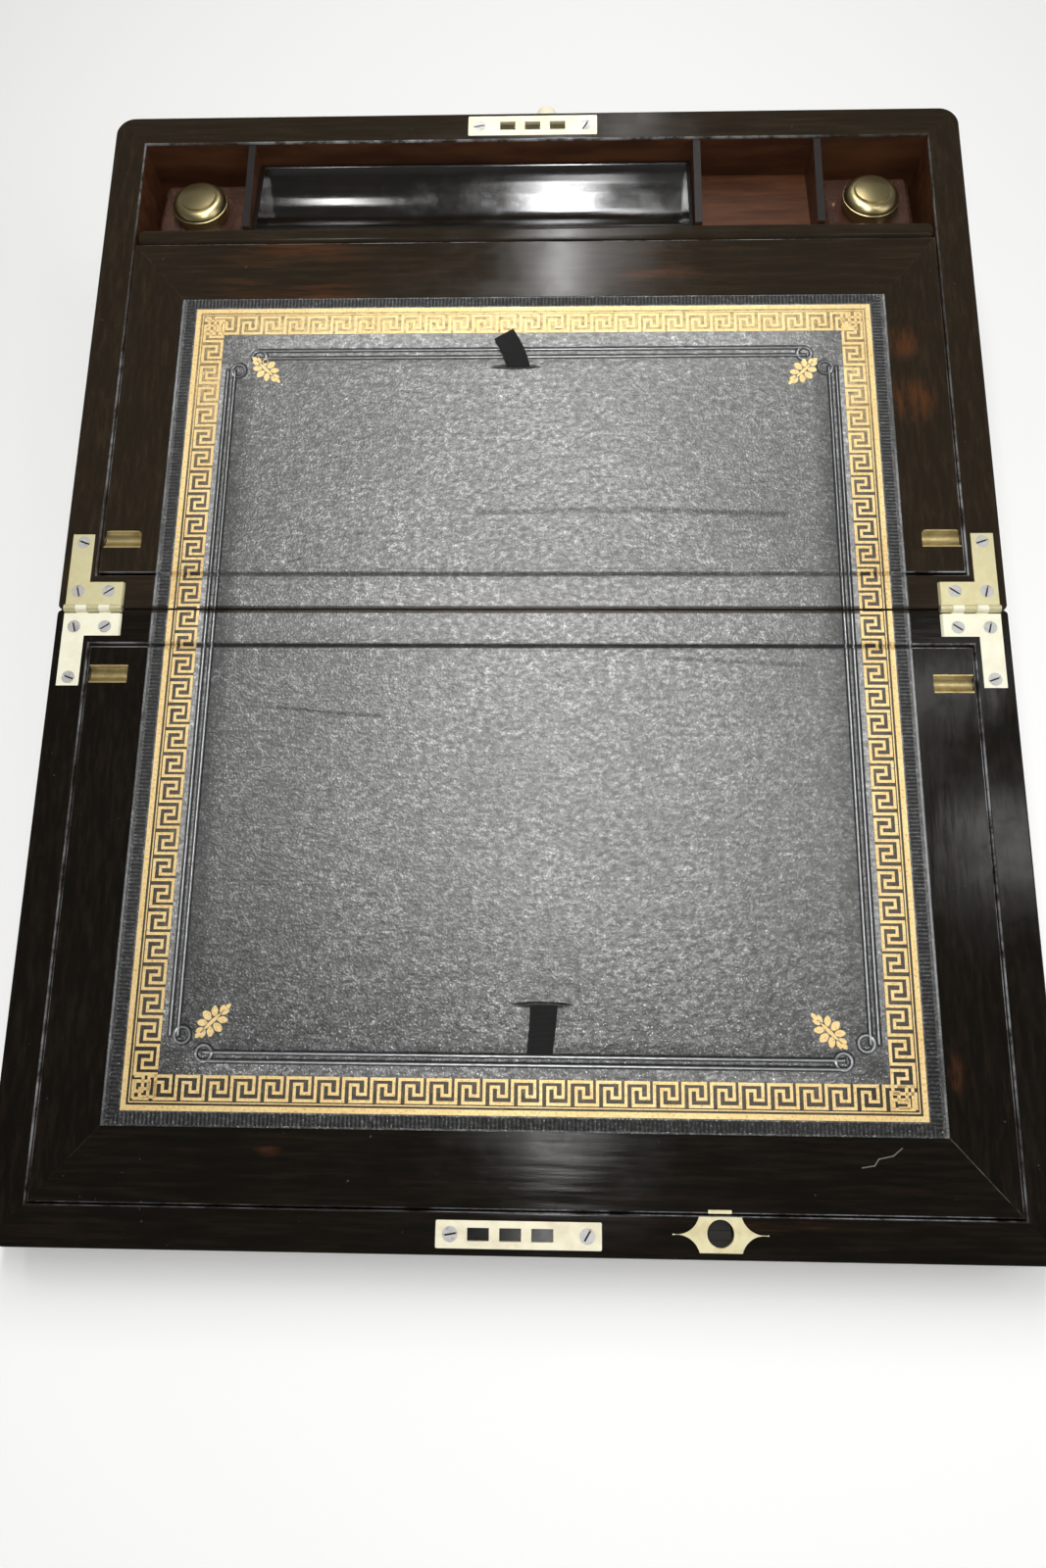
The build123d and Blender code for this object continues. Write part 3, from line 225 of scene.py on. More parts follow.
# The wood's black and brown: the base's is paler and browner than the lid's. They are lit and shaded copies
# of one wood, with painted light on the far half and painted shade on the near half.
WOOD_LIT_AND_SHADED: dict[Half, tuple[Colour, Colour]] = {
    Half.BASE: ((0.0200, 0.0150, 0.0095), (0.038, 0.0255, 0.0145)),
    Half.LID: ((0.0072, 0.0061, 0.0044), (0.0190, 0.0130, 0.0085)),
}
# How dark the painted shade in the fold is on each half's leather, and how strong the painted highlight on
# its blind lines is.
FOLD_SHADE_AND_SHINE: dict[Half, Range] = {Half.BASE: (0.4, 0.5), Half.LID: (1.0, 0.85)}
# How far the middle of each slit lies left of its ribbon's.
SLIT_ASIDE: dict[Half, float] = {Half.BASE: 1.5 * MM, Half.LID: 0.8 * MM}


# ---- node trees ----


class Blend(Enum):
    """What a Mix node blends; the value is its data type and the numbers of its sockets."""

    NUMBERS = ("FLOAT", 2, 3, 0)
    PLACES = ("VECTOR", 4, 5, 1)
    COLOURS = ("RGBA", 6, 7, 2)


class ShaderTree:
    """A material's node tree, with short ways to add and join its nodes."""

    def __init__(self, name: str) -> None:
        """Start an empty material.

        Args:
            name: the material's name.
        """
        self.material = bpy.data.materials.new(name)
        self.material.use_nodes = True
        self.tree = self.material.node_tree
        self.tree.nodes.clear()

    def add(self, kind: str, inputs: dict[str | int, Input] | None = None, **settings: object) -> Node:
        """Add one node.

        Args:
            kind: the node's type, without its ShaderNode prefix.
            inputs: values or sockets for its inputs, by name or number.
            settings: the node's own attributes.

        Returns:
            The node.
        """
        node = self.tree.nodes.new(f"ShaderNode{kind}")
        for name, value in settings.items():
            setattr(node, name, value)
        for key, value in (inputs or {}).items():
            if isinstance(value, NodeSocket):
                self.tree.links.new(value, node.inputs[key])
            else:
                node.inputs[key].default_value = value
        return node

    def object_place(self) -> NodeSocket:
        """The place on the piece, in its own coordinates."""
        return self.add("TexCoord").outputs["Object"]

    def surface_place(self) -> NodeSocket:
        """The x and s stored in the piece's UV map, in metres."""
        return self.add("TexCoord").outputs["UV"]

    def parts(self, vector: NodeSocket) -> tuple[NodeSocket, NodeSocket, NodeSocket]:
        """The three parts of a vector."""
        split = self.add("SeparateXYZ", {0: vector})
        return split.outputs[0], split.outputs[1], split.outputs[2]

    def scaled(self, vector: NodeSocket, scale: Sequence[float]) -> NodeSocket:
        """A vector with each part multiplied."""
        return self.add("Mapping", {"Vector": vector, "Scale": scale}).outputs[0]

    def dot(self, vector: NodeSocket, direction: Vector) -> NodeSocket:
        """How far a vector reaches in one direction."""
        inputs = {0: vector, 1: tuple(direction)}
        return self.add("VectorMath", inputs, operation="DOT_PRODUCT").outputs["Value"]

    def past(self, place: NodeSocket, origin: Vector, direction: Vector) -> NodeSocket:
        """How far a place lies past an origin in one direction."""
        return self.minus(self.dot(place, direction), origin @ direction)

    def distance(self, first: Input, second: Input) -> NodeSocket:
        """How far two places lie apart."""
        return self.add("VectorMath", {0: first, 1: second}, operation="DISTANCE").outputs["Value"]

    def math(self, operation: str, first: Input, second: Input = 0.0) -> NodeSocket:
        """One sum of one or two numbers."""
        return self.add("Math", {0: first, 1: second}, operation=operation).outputs[0]

    def plus(self, first: Input, second: Input) -> NodeSocket:
        """Two numbers added."""
        return self.math("ADD", first, second)

    def minus(self, first: Input, second: Input) -> NodeSocket:
        """The first number less the second."""
        return self.math("SUBTRACT", first, second)

    def magnitude(self, value: Input) -> NodeSocket:
        """A number without its sign."""
        return self.math("ABSOLUTE", value)

    def product(self, *values: Input) -> NodeSocket:
        """Several numbers multiplied."""
        return reduce(partial(self.math, "MULTIPLY"), values)

    def largest(self, *values: Input) -> NodeSocket:
        """The largest of several numbers."""
        return reduce(partial(self.math, "MAXIMUM"), values)

    def smallest(self, *values: Input) -> NodeSocket:
        """The smallest of several numbers."""
        return reduce(partial(self.math, "MINIMUM"), values)

    def band(self, value: Input, low: float, high: float, start: float = 0.0, end: float = 1.0) -> NodeSocket:
        """Turn a number smoothly from one value to another.

        Args:
            value: the number that decides.
            low: where the turn starts.
            high: where it ends.
            start: the result at or before low.
            end: the result at or past high.

        Returns:
            The result.
        """
        inputs = {"Value": value, "From Min": low, "From Max": high, "To Min": start, "To Max": end}
        return self.add("MapRange", inputs, interpolation_type="SMOOTHSTEP").outputs[0]

    def near(self, value: Input, middle: float, full: float, none: float) -> NodeSocket:
        """Mark where a number lies close to another.

        Args:
            value: the number.
            middle: what it is compared with.
            full: how far off it may lie and still count in full.
            none: how far off it no longer counts.

        Returns:
            1 where it is close, and 0 where it isn't.
        """
        return self.band(self.magnitude(self.minus(value, middle)), full, none, 1.0, 0.0)

    def noise(
        self, vector: NodeSocket, scale: float, detail: float = 2.0, roughness: float = 0.5
    ) -> NodeSocket:
        """Soft noise from about 0 to 1."""
        inputs = {"Vector": vector, "Scale": scale, "Detail": detail, "Roughness": roughness}
        return self.add("TexNoise", inputs).outputs[0]

    def cells(self, vector: NodeSocket, scale: float) -> NodeSocket:
        """The distance to the nearest of scattered points."""
        return self.add("TexVoronoi", {"Vector": vector, "Scale": scale}).outputs["Distance"]

    def mix(self, share: Input, first: Input, second: Input, kind: Blend = Blend.COLOURS) -> NodeSocket:
        """Blend two values.

        Args:
            share: how much of the second goes in.
            first: the value at a share of 0.
            second: the value at a share of 1.
            kind: what the two values are.

        Returns:
            The blend.
        """
        data_type, first_input, second_input, output = kind.value
        inputs = {0: share, first_input: first, second_input: second}
        return self.add("Mix", inputs, data_type=data_type).outputs[output]

    def to_segment(self, place: NodeSocket, start: Point, end: Point) -> NodeSocket:
        """Measure how far a flat place lies from a straight stroke.

        Args:
            place: the place, with 0 as its third part.
            start: where the stroke starts.
            end: where it ends.

        Returns:
            The distance.
        """
        first, last = Vector((*start, 0.0)), Vector((*end, 0.0))
        way = last - first
        offset = self.add("VectorMath", {0: place, 1: tuple(first)}, operation="SUBTRACT").outputs[0]
        run = self.math("DIVIDE", self.dot(offset, way), way @ way)
        held = self.add("Clamp", {0: run}).outputs[0]
        nearest = self.add("VectorMath", {0: tuple(way), "Scale": held}, operation="SCALE").outputs[0]
        return self.distance(offset, nearest)

    def bump(self, height: NodeSocket, distance: float, after: NodeSocket | None = None) -> NodeSocket:
        """Tilt a normal by a height.

        Args:
            height: the height, as a share of distance.
            distance: how high a height of 1 stands, in metres.
            after: the normal to tilt, if it isn't the surface's own.

        Returns:
            The normal.
        """
        inputs: dict[str | int, Input] = {"Height": height, "Distance": distance, "Strength": 1.0}
        if after is not None:
            inputs["Normal"] = after
        return self.add("Bump", inputs).outputs[0]

    def finish(
        self, colour: Input, roughness: Input, normal: NodeSocket | None = None, **sockets: Input
    ) -> Material:
        """Close the tree with a surface shader.

        Args:
            colour: the surface's own colour.
            roughness: how blurred its reflections are.
            normal: a tilted normal.
            sockets: more of the shader's inputs, with _ for a space.

        Returns:
            The material.
        """
        inputs: dict[str | int, Input] = {"Base Color": colour, "Roughness": roughness}
        if normal is not None:
            inputs["Normal"] = normal
        inputs |= {name.replace("_", " "): value for name, value in sockets.items()}
        shader = self.add("BsdfPrincipled", inputs)
        output = self.add("OutputMaterial")
        self.tree.links.new(shader.outputs[0], output.inputs["Surface"])
        return self.material


@dataclass(frozen=True)
class Spot:
    """A shading point on a CAD piece: its place, and its x, s and n on the slope."""

    place: NodeSocket
    x: NodeSocket
    s: NodeSocket
    n: NodeSocket

    @classmethod
    def of(cls, tree: ShaderTree, slope: Slope) -> "Spot":
        """Find the shading point.

        Args:
            tree: the node tree.
            slope: the slope.

        Returns:
            The spot.
        """
        place = tree.object_place()
        x, _, _ = tree.parts(place)
        s = tree.past(place, slope.hinge, slope.along)
        return cls(place, x, s, tree.past(place, slope.hinge, slope.normal))


@dataclass(frozen=True)
class Outline:
    """A rectangle on the slope, between -x and x and from start to end in s."""

    x: float
    start: float
    end: float

    def beyond(self, tree: ShaderTree, x: NodeSocket, s: NodeSocket) -> NodeSocket:
        """How far a place lies outside the rectangle, less than 0 inside it."""
        past_x = tree.minus(tree.magnitude(x), self.x)
        return tree.largest(past_x, tree.minus(s, self.end), tree.minus(self.start, s))


# ---- finishes ----


class Grain(Enum):
    """Which way a board's grain runs; the value stretches the grain pattern along it."""

    ACROSS = (1.0, 14.0, 14.0)
    ALONG = (14.0, 1.0, 14.0)


@dataclass(frozen=True)
class InnerBoards:
    """Red-brown boards inside the box, with blackened top edges."""

    slope: Slope
    pale: Colour = (0.098, 0.038, 0.016)
    dark: Colour = (0.050, 0.019, 0.009)
    edge: Colour = (0.014, 0.011, 0.009)
    edge_depth: float = 1.5 * MM
    edge_blur: float = 0.2 * MM
    gloss: Range = (0.34, 0.5)
    pore_depth: float = 0.05 * MM
    specular: float = 0.25

    def colour(self, tree: ShaderTree, place: NodeSocket) -> NodeSocket:
        """The grain's colour at a place."""
        figure = tree.noise(tree.scaled(place, (1.0, 9.0, 5.0)), 22.0, 5.0, 0.6)
        return tree.mix(tree.band(figure, 0.34, 0.66), rgba(self.dark), rgba(self.pale))

    def material(self) -> Material:
        """Build the material.

        Returns:
            The material.
        """
        tree = ShaderTree("inner_boards")
        spot = Spot.of(tree, self.slope)
        blackened = tree.band(spot.n, -self.edge_depth, self.edge_blur - self.edge_depth)
        colour = tree.mix(blackened, self.colour(tree, spot.place), rgba(self.edge))
        pores = tree.noise(tree.scaled(spot.place, (1.0, 12.0, 12.0)), 260.0, 3.0, 0.7)
        roughness = tree.band(pores, 0.3, 0.7, *self.gloss)
        normal = tree.bump(pores, self.pore_depth)
        return tree.finish(colour, roughness, normal, Specular_IOR_Level=self.specular)


@dataclass(frozen=True)
class Mitre:
    """A flap frame's inner corners, how wide its stiles and its rail are, and its marks of age."""

    stile_x: float
    stile_width: float
    rail_s: float
    rail_width: float
    cracks: tuple[tuple[Point, ...], ...] = ()
    flames: tuple[Flame, ...] = ()

    def past(self, tree: ShaderTree, spot: Spot) -> NodeSocket:
        """Measure how far a spot lies on the stile's side of its mitre.

        Args:
            tree: the node tree.
            spot: the shading point.

        Returns:
            The distance along x, negative on the rail's side.
        """
        past_stile = tree.minus(tree.magnitude(spot.x), self.stile_x)
        past_rail = tree.minus(tree.magnitude(spot.s), self.rail_s)
        steepness = self.stile_width / self.rail_width
        return tree.minus(past_stile, tree.product(past_rail, steepness))


@dataclass(frozen=True)
class Coromandel:
    """French-polished, near-black wood with red-brown streaks, lined red-brown inside."""

    name: str
    slope: Slope
    grain: Grain | None = None
    lining: tuple[Vector, Vector] | None = None
    arris: Outline | None = None
    worn_s: float | None = None
    mitre: Mitre | None = None
    black: Colour = (0.0052, 0.0045, 0.0032)
    brown: Colour = (0.0150, 0.0100, 0.0062)
    flame: Colour = (0.078, 0.031, 0.013)
    # glint: a painted highlight along the arrises; the wood's pale dust specks take the same colour.
    glint: Colour = (0.40, 0.41, 0.42)
    worn: Colour = (0.34, 0.125, 0.035)
    opened_joint: Colour = (0.20, 0.16, 0.13)
    cracked: Colour = (0.30, 0.27, 0.24)
    rim: float = 1.1 * MM
    lining_slack: float = 0.25 * MM
    arris_depth: Range = (-1.9 * MM, -1.2 * MM)
    arris_width: Range = (0.22 * MM, 0.62 * MM)
    worn_width: Range = (0.35 * MM, 0.8 * MM)
    joint_width: Range = (0.08 * MM, 0.34 * MM)
    crack_width: Range = (0.05 * MM, 0.32 * MM)
    opened_corner: Range = (330 * MM, 345 * MM)
    gloss: Range = (0.10, 0.22)
    lining_roughness: float = 0.45
    ripple: float = 0.10 * MM
    pore_depth: float = 0.010 * MM
    flame_share: float = 0.6
    specular: float = 0.13

    def grain_place(self, tree: ShaderTree, spot: Spot) -> NodeSocket:
        """Squeeze a place across the grain, which turns at a frame's mitres.

        Args:
            tree: the node tree.
            spot: the shading point.

        Returns:
            The place for the grain's patterns.
        """
        if self.grain is not None:
            return tree.scaled(spot.place, self.grain.value)
        stile = tree.math("GREATER_THAN", self.mitre.past(tree, spot), 0.0)
        across = tree.scaled(spot.place, Grain.ACROSS.value)
        along = tree.scaled(spot.place, Grain.ALONG.value)
        return tree.mix(stile, across, along, Blend.PLACES)

    def inside(self, tree: ShaderTree, spot: Spot) -> NodeSocket:
        """Mark where a board faces the inside of its half.

        Args:
            tree: the node tree.
            spot: the shading point.

        Returns:
            1 inside, and elsewhere 0.
        """
        x, y, z = tree.parts(spot.place)
        slack = self.lining_slack
        low, high = self.lining
        return tree.product(
            tree.math("LESS_THAN", tree.magnitude(x), high.x + slack),
            tree.math("GREATER_THAN", y, low.y - slack),
            tree.math("LESS_THAN", y, high.y + slack),
            tree.math("GREATER_THAN", z, low.z - slack),
            tree.math("LESS_THAN", spot.n, -self.rim),
        )

    def flames(self, tree: ShaderTree, spot: Spot, figure: NodeSocket) -> NodeSocket:
        """Mark the red-brown flames: some by chance, and those that the mitred frame has.

        Args:
            tree: the node tree.
            spot: the shading point.
            figure: the wood's broad figure.

        Returns:
            How much of a flame is there.
        """
        patches = tree.noise(spot.place, 11.0, 1.0)
        chance = tree.product(tree.band(figure, 0.58, 0.74), tree.band(patches, 0.58, 0.74))
        flames = tree.product(chance, self.flame_share)
        for flame in self.mitre.flames if self.mitre else ():
            off_x = tree.math("POWER", tree.minus(spot.x, flame.x), 2.0)
            off_s = tree.math("POWER", tree.minus(spot.s, flame.s), 2.0)
            off = tree.math("SQRT", tree.plus(off_x, off_s))
            fade = tree.band(off, flame.reach * 0.3, flame.reach, 1.0, 0.0)
            flames = tree.largest(flames, tree.product(fade, tree.band(figure, 0.42, 0.62)))
        return flames

    def streaks(self, tree: ShaderTree, spot: Spot, along: NodeSocket) -> NodeSocket:
        """Colour the wood: black, brown lines and a few red-brown flames.

        Args:
            tree: the node tree.
            spot: the shading point.
            along: its place, squeezed across the grain.

        Returns:
            The colour.
        """
        fine = tree.noise(along, 30.0, 4.0, 0.7)
        flames = self.flames(tree, spot, tree.noise(along, 7.0, 4.0, 0.62))
        colour = tree.mix(tree.band(fine, 0.38, 0.82), rgba(self.black), rgba(self.brown))
        return tree.mix(tree.product(flames, tree.band(fine, 0.3, 0.6)), colour, rgba(self.flame))

    def wear(self, tree: ShaderTree, spot: Spot, colour: NodeSocket) -> NodeSocket:
        """Paint glints on the arrises as broken highlight lines, and rub a worn outer edge and the mitres
        pale, in broken lines.

        Args:
            tree: the node tree.
            spot: the shading point.
            colour: the wood's colour.

        Returns:
            The colour with its painted glints and worn lines.
        """
        broken = tree.band(tree.noise(spot.place, 70.0, 4.0, 0.75), 0.36, 0.62, 0.04, 1.0)
        patchy = tree.band(tree.noise(spot.place, 9.0, 2.0), 0.35, 0.65, 0.12, 1.0)
        if self.arris is not None:
            # Painted highlight: broken pale lines on the rims' arrises stand for glints of the lamps.
            top = tree.band(spot.n, *self.arris_depth)
            line = tree.near(self.arris.beyond(tree, spot.x, spot.s), 0.0, *self.arris_width)
            colour = tree.mix(tree.product(line, broken, patchy, top), colour, rgba(self.glint))
        if self.worn_s is not None:
            line = tree.near(spot.s, self.worn_s, *self.worn_width)
            colour = tree.mix(tree.product(line, broken, patchy, 0.8), colour, rgba(self.worn))
        if self.mitre is not None:
            line = tree.near(self.mitre.past(tree, spot), 0.0, *self.joint_width)
            rubbed = tree.band(tree.minus(spot.x, spot.s), *self.opened_corner, 0.10, 0.75)
            colour = tree.mix(tree.product(line, broken, rubbed), colour, rgba(self.opened_joint))
            colour = self.crack(tree, spot, colour)
        return colour

    def crack(self, tree: ShaderTree, spot: Spot, colour: NodeSocket) -> NodeSocket:
        """Draw the frame's cracks in the polish.

        Args:
            tree: the node tree.
            spot: the shading point.
            colour: the wood's colour.

        Returns:
            The colour with its cracks.
        """
        flat = tree.add("CombineXYZ", {0: spot.x, 1: spot.s}).outputs[0]
        for points in self.mitre.cracks:
            for start, end in zip(points, points[1:]):
                share = tree.band(tree.to_segment(flat, start, end), *self.crack_width, 0.7, 0.0)
                colour = tree.mix(share, colour, rgba(self.cracked))
        return colour

    def material(self) -> Material:
        """Build the material.

        Returns:
            The material.
        """
        tree = ShaderTree(self.name)
        spot = Spot.of(tree, self.slope)
        along = self.grain_place(tree, spot)
        colour = self.wear(tree, spot, self.streaks(tree, spot, along))
        haze = tree.noise(spot.place, 45.0, 5.0, 0.7)
        # Pale dust specks, in the painted glint's colour.
        dust = tree.band(tree.noise(spot.place, 520.0, 2.0), 0.72, 0.78)
        colour = tree.mix(tree.product(dust, tree.band(haze, 0.5, 0.7), 0.3), colour, rgba(self.glint))
        roughness = tree.band(haze, 0.35, 0.75, *self.gloss)
        if self.lining is not None:
            inside = self.inside(tree, spot)
            colour = tree.mix(inside, colour, InnerBoards(self.slope).colour(tree, spot.place))
            roughness = tree.mix(inside, roughness, self.lining_roughness, Blend.NUMBERS)
        normal = tree.bump(tree.noise(along, 16.0, 2.0, 0.4), self.ripple)
        normal = tree.bump(tree.noise(along, 190.0, 3.0, 0.75), self.pore_depth, normal)
        return tree.finish(colour, roughness, normal, Specular_IOR_Level=self.specular)


@dataclass(frozen=True)
class ToolingPlan:
    """Where the leather's blind tooling and gilding lie, in x and s."""

    gilt_x: float = 154.8 * MM
    gilt_far: float = 149.4 * MM
    gilt_near: float = -207.6 * MM
    gilt_band: float = 13.6 * MM
    blind_x: tuple[float, ...] = (137.9 * MM, 134.7 * MM)
    blind_far: tuple[float, ...] = (127.3 * MM, 123.4 * MM)
    blind_near: tuple[float, ...] = (-188.7 * MM, -185.4 * MM)
    corner_far: float = 117.0 * MM
    corner_near: float = -179.0 * MM
    corner_x: float = 124.0 * MM
    ring: float = 3.1 * MM
    ring_in_x: float = 3.2 * MM
    ring_in_s: float = 1.2 * MM
    leather_x: float = 161.4 * MM

    @property
    def gilt(self) -> Outline:
        """The gilding's outer line."""
        return Outline(self.gilt_x, self.gilt_near, self.gilt_far)

    def rings(self) -> list[Point]:
        """Place the two blind rings at each corner, one on each pair of lines.

        Returns:
            Their middles.
        """
        side = sum(self.blind_x) / 2 - self.ring_in_x
        ends = (
            (self.corner_near, sum(self.blind_near) / 2 + self.ring_in_s),
            (self.corner_far, sum(self.blind_far) / 2 - self.ring_in_s),
        )
        return [
            place
            for hand in (1, -1)
            for side_end, row in ends
            for place in ((hand * side, side_end), (hand * self.corner_x, row))
        ]


@dataclass(frozen=True)
class LeatherSpot:
    """A shading point on the leather, with the patterns that several of its looks share."""

    place: NodeSocket
    x: NodeSocket
    s: NodeSocket
    past_gilt: NodeSocket
    grain: NodeSocket
    tops: NodeSocket
    broad: NodeSocket


@dataclass(frozen=True)
class Tooling:
    """How far a shading point on the leather lies off the blind lines, and its marks."""

    off_line: NodeSocket
    groove: NodeSocket
    rubbed: NodeSocket
    hatching: NodeSocket
    slit: NodeSocket


@dataclass(frozen=True)
class TooledLeather:
    """Black pebble-grained leather with a hatched edge, burnished blind lines with painted highlights, and a
    ribbon's slit painted as shade.
    """

    name: str
    plan: ToolingPlan
    slit: Point
    # fold_dirt: how dark the painted shade in the fold is.
    fold_dirt: float
    shine: float
    wrinkles: tuple[Wrinkle, ...]
    slit_length: float = 23.0 * MM
    slit_width: float = 2.4 * MM
    pale: Colour = (0.50, 0.50, 0.49)
    dark: Colour = (0.108, 0.108, 0.104)
    # fresh: the darker colour of the leather's near end.
    fresh: Colour = (0.038, 0.038, 0.036)
    # sparkle: painted highlights, as sparkles on the grain's peaks and glints at the near end.
    sparkle: Colour = (0.90, 0.90, 0.89)
    # pressed: black for the pressed hatching and border, and painted shade in the grooves, the fold and the
    # wrinkles.
    pressed: Colour = (0.008, 0.008, 0.008)
    # burnished: painted highlight on the burnished blind lines, and the pale of the rubbed side edges.
    burnished: Colour = (0.42, 0.43, 0.44)
    cut_edge: Colour = (0.020, 0.012, 0.007)
    gold_dust: Colour = (0.70, 0.52, 0.25)
    gilt_ground: Colour = (0.020, 0.015, 0.010)
    # open_slit: painted shade in the ribbon's slit, where no opening is cut.
    open_slit: Colour = (0.003, 0.003, 0.003)
    # Where the near end's darker colour fades out, in s.
    unworn: Range = (-205 * MM, -95 * MM)
    dusty: Range = (40 * MM, 150 * MM)
    hatch_pitch: float = 1.62 * MM
    hatch_from: float = 0.5 * MM
    hatch_to: float = 4.6 * MM
    hatch_blur: float = 0.5 * MM
    border_blur: float = 1.0 * MM
    groove_width: Range = (0.75 * MM, 1.25 * MM)
    rubbed_width: Range = (0.15 * MM, 0.60 * MM)
    smooth_width: Range = (0.4 * MM, 0.9 * MM)
    fold_width: Range = (0.55 * MM, 1.5 * MM)
    cut_width: Range = (1.2 * MM, 2.1 * MM)
    edge_width: Range = (0.2 * MM, 0.6 * MM)
    mark_depth: float = 0.25 * MM
    wrinkle_depth: float = 0.12 * MM
    grain_depth: float = 0.12 * MM
    gloss: Range = (0.50, 0.38)
    rubbed_roughness: float = 0.32
    metallic: float = 0.66

    def spot(self, tree: ShaderTree) -> LeatherSpot:
        """Find the shading point and its patterns.

        Args:
            tree: the node tree.

        Returns:
            The spot.
        """
        place = tree.surface_place()
        x, s, _ = tree.parts(place)
        return LeatherSpot(
            place,
            x,
            s,
            past_gilt=self.plan.gilt.beyond(tree, x, s),
            grain=tree.noise(tree.scaled(place, (0.8, 1.2, 1.0)), 430.0, 5.0, 0.68),
            tops=tree.band(tree.cells(place, 1000.0), 0.15, 0.70, 1.0, 0.35),
            broad=tree.noise(place, 17.0, 4.0, 0.65),
        )

    def hatching(self, tree: ShaderTree, spot: LeatherSpot) -> NodeSocket:
        """Press in the short strokes along the leather's edge.

        Args:
            tree: the node tree.
            spot: the shading point.

        Returns:
            The strokes' height.
        """
        past_x = tree.minus(tree.magnitude(spot.x), self.plan.gilt_x)
        beside = tree.math("GREATER_THAN", past_x, tree.minus(spot.past_gilt, 0.01 * MM))
        run = tree.mix(beside, spot.x, spot.s, Blend.NUMBERS)
        wave = tree.math("SINE", tree.product(run, 2 * math.pi / self.hatch_pitch))
        inner = tree.band(spot.past_gilt, self.hatch_from, self.hatch_from + self.hatch_blur)
        outer = tree.band(spot.past_gilt, self.hatch_to, self.hatch_to + self.hatch_blur, 1.0, 0.0)
        return tree.product(wave, inner, outer)

    def off_line(self, tree: ShaderTree, spot: LeatherSpot) -> NodeSocket:
        """Measure how far a spot lies off the nearest blind line or ring.

        Args:
            tree: the node tree.
            spot: the shading point.

        Returns:
            The distance, made large past a line's ends.
        """
        plan = self.plan
        aside = tree.magnitude(spot.x)
        past_ends = tree.largest(tree.minus(spot.s, plan.corner_far), tree.minus(plan.corner_near, spot.s))
        past_sides = tree.minus(aside, plan.corner_x)
        lines = [(aside, line, past_ends) for line in plan.blind_x]
        lines += [(spot.s, line, past_sides) for line in (*plan.blind_far, *plan.blind_near)]
        strokes = [tree.largest(tree.magnitude(tree.minus(run, at)), past) for run, at, past in lines]
        for ring in plan.rings():
            off_middle = tree.distance(spot.place, (*ring, 0.0))
            strokes.append(tree.magnitude(tree.minus(off_middle, plan.ring)))
        return tree.smallest(*strokes)

    def slit_mask(self, tree: ShaderTree, spot: LeatherSpot) -> NodeSocket:
        """Mark the almond-shaped slit for the ribbon.

        Args:
            tree: the node tree.
            spot: the shading point.

        Returns:
            1 in the slit, and elsewhere 0.
        """
        across = tree.math("DIVIDE", tree.minus(spot.x, self.slit[0]), self.slit_length / 2)
        along = tree.math("DIVIDE", tree.minus(spot.s, self.slit[1]), self.slit_width / 2)
        reach = tree.plus(tree.math("POWER", across, 2.0), tree.math("POWER", along, 2.0))
        return tree.band(reach, 0.5, 1.2, 1.0, 0.0)

    def tooling(self, tree: ShaderTree, spot: LeatherSpot) -> Tooling:
        """Find a spot's marks.

        Args:
            tree: the node tree.
            spot: the shading point.

        Returns:
            The marks.
        """
        off = self.off_line(tree, spot)
        polish = tree.band(spot.grain, 0.30, 0.50, 0.6, 1.0)
        return Tooling(
            off,
            groove=tree.band(off, *self.groove_width, 1.0, 0.0),
            rubbed=tree.product(tree.band(off, *self.rubbed_width, 1.0, 0.0), polish),
            hatching=self.hatching(tree, spot),
            slit=self.slit_mask(tree, spot),
        )

    def wrinkle_mask(self, tree: ShaderTree, spot: LeatherSpot) -> NodeSocket:
        """Mark the painted shade of the leather's few long wrinkles, each as dark as its depth.

        Args:
            tree: the node tree.
            spot: the shading point.

        Returns:
            How much painted shade is there.
        """
        masks = []
        for wrinkle in self.wrinkles:
            off = tree.to_segment(spot.place, wrinkle.start, wrinkle.end)
            full, none = wrinkle.half_width * 0.2, wrinkle.half_width
            masks.append(tree.band(off, full, none, wrinkle.depth, 0.0))
        return tree.largest(*masks)

    def worn_colour(self, tree: ShaderTree, spot: LeatherSpot) -> NodeSocket:
        """Colour the grain: grey where hands have worn it and darker, nearly black, at the near end, with
        painted highlights as sparkles on the grain's peaks and as glints at the near end.

        Args:
            tree: the node tree.
            spot: the shading point.

        Returns:
            The colour.
        """
        unworn = tree.band(spot.s, *self.unworn, 1.0, 0.0)
        worn = tree.product(
            tree.band(spot.grain, 0.32, 0.70),
            spot.tops,
            tree.band(tree.noise(spot.place, 150.0, 4.0, 0.7), 0.34, 0.64, 0.38, 1.0),
            tree.band(spot.broad, 0.32, 0.68, 0.58, 1.0),
            tree.band(unworn, 0.0, 1.0, 1.0, 0.75),
        )
        colour = tree.mix(unworn, rgba(self.dark), rgba(self.fresh))
        colour = tree.mix(worn, colour, rgba(self.pale))
        # Painted highlights: sparkles on the grain's peaks everywhere, and glints at the near end.
        colour = tree.mix(tree.band(spot.grain, 0.68, 0.75), colour, rgba(self.sparkle))
        glints = tree.band(tree.noise(spot.place, 1050.0, 3.0, 0.7), 0.60, 0.68)
        return tree.mix(tree.product(glints, unworn, 0.8), colour, rgba(self.sparkle))

    def marked(
        self, tree: ShaderTree, spot: LeatherSpot, tooling: Tooling, colour: NodeSocket
    ) -> NodeSocket:
        """Blacken the pressed marks, paint shade into the grooves, the fold and the wrinkles, and paint
        highlights on the burnished blind lines.

        Args:
            tree: the node tree.
            spot: the shading point.
            tooling: its marks.
            colour: the leather's colour.

        Returns:
            The colour with its marks.
        """
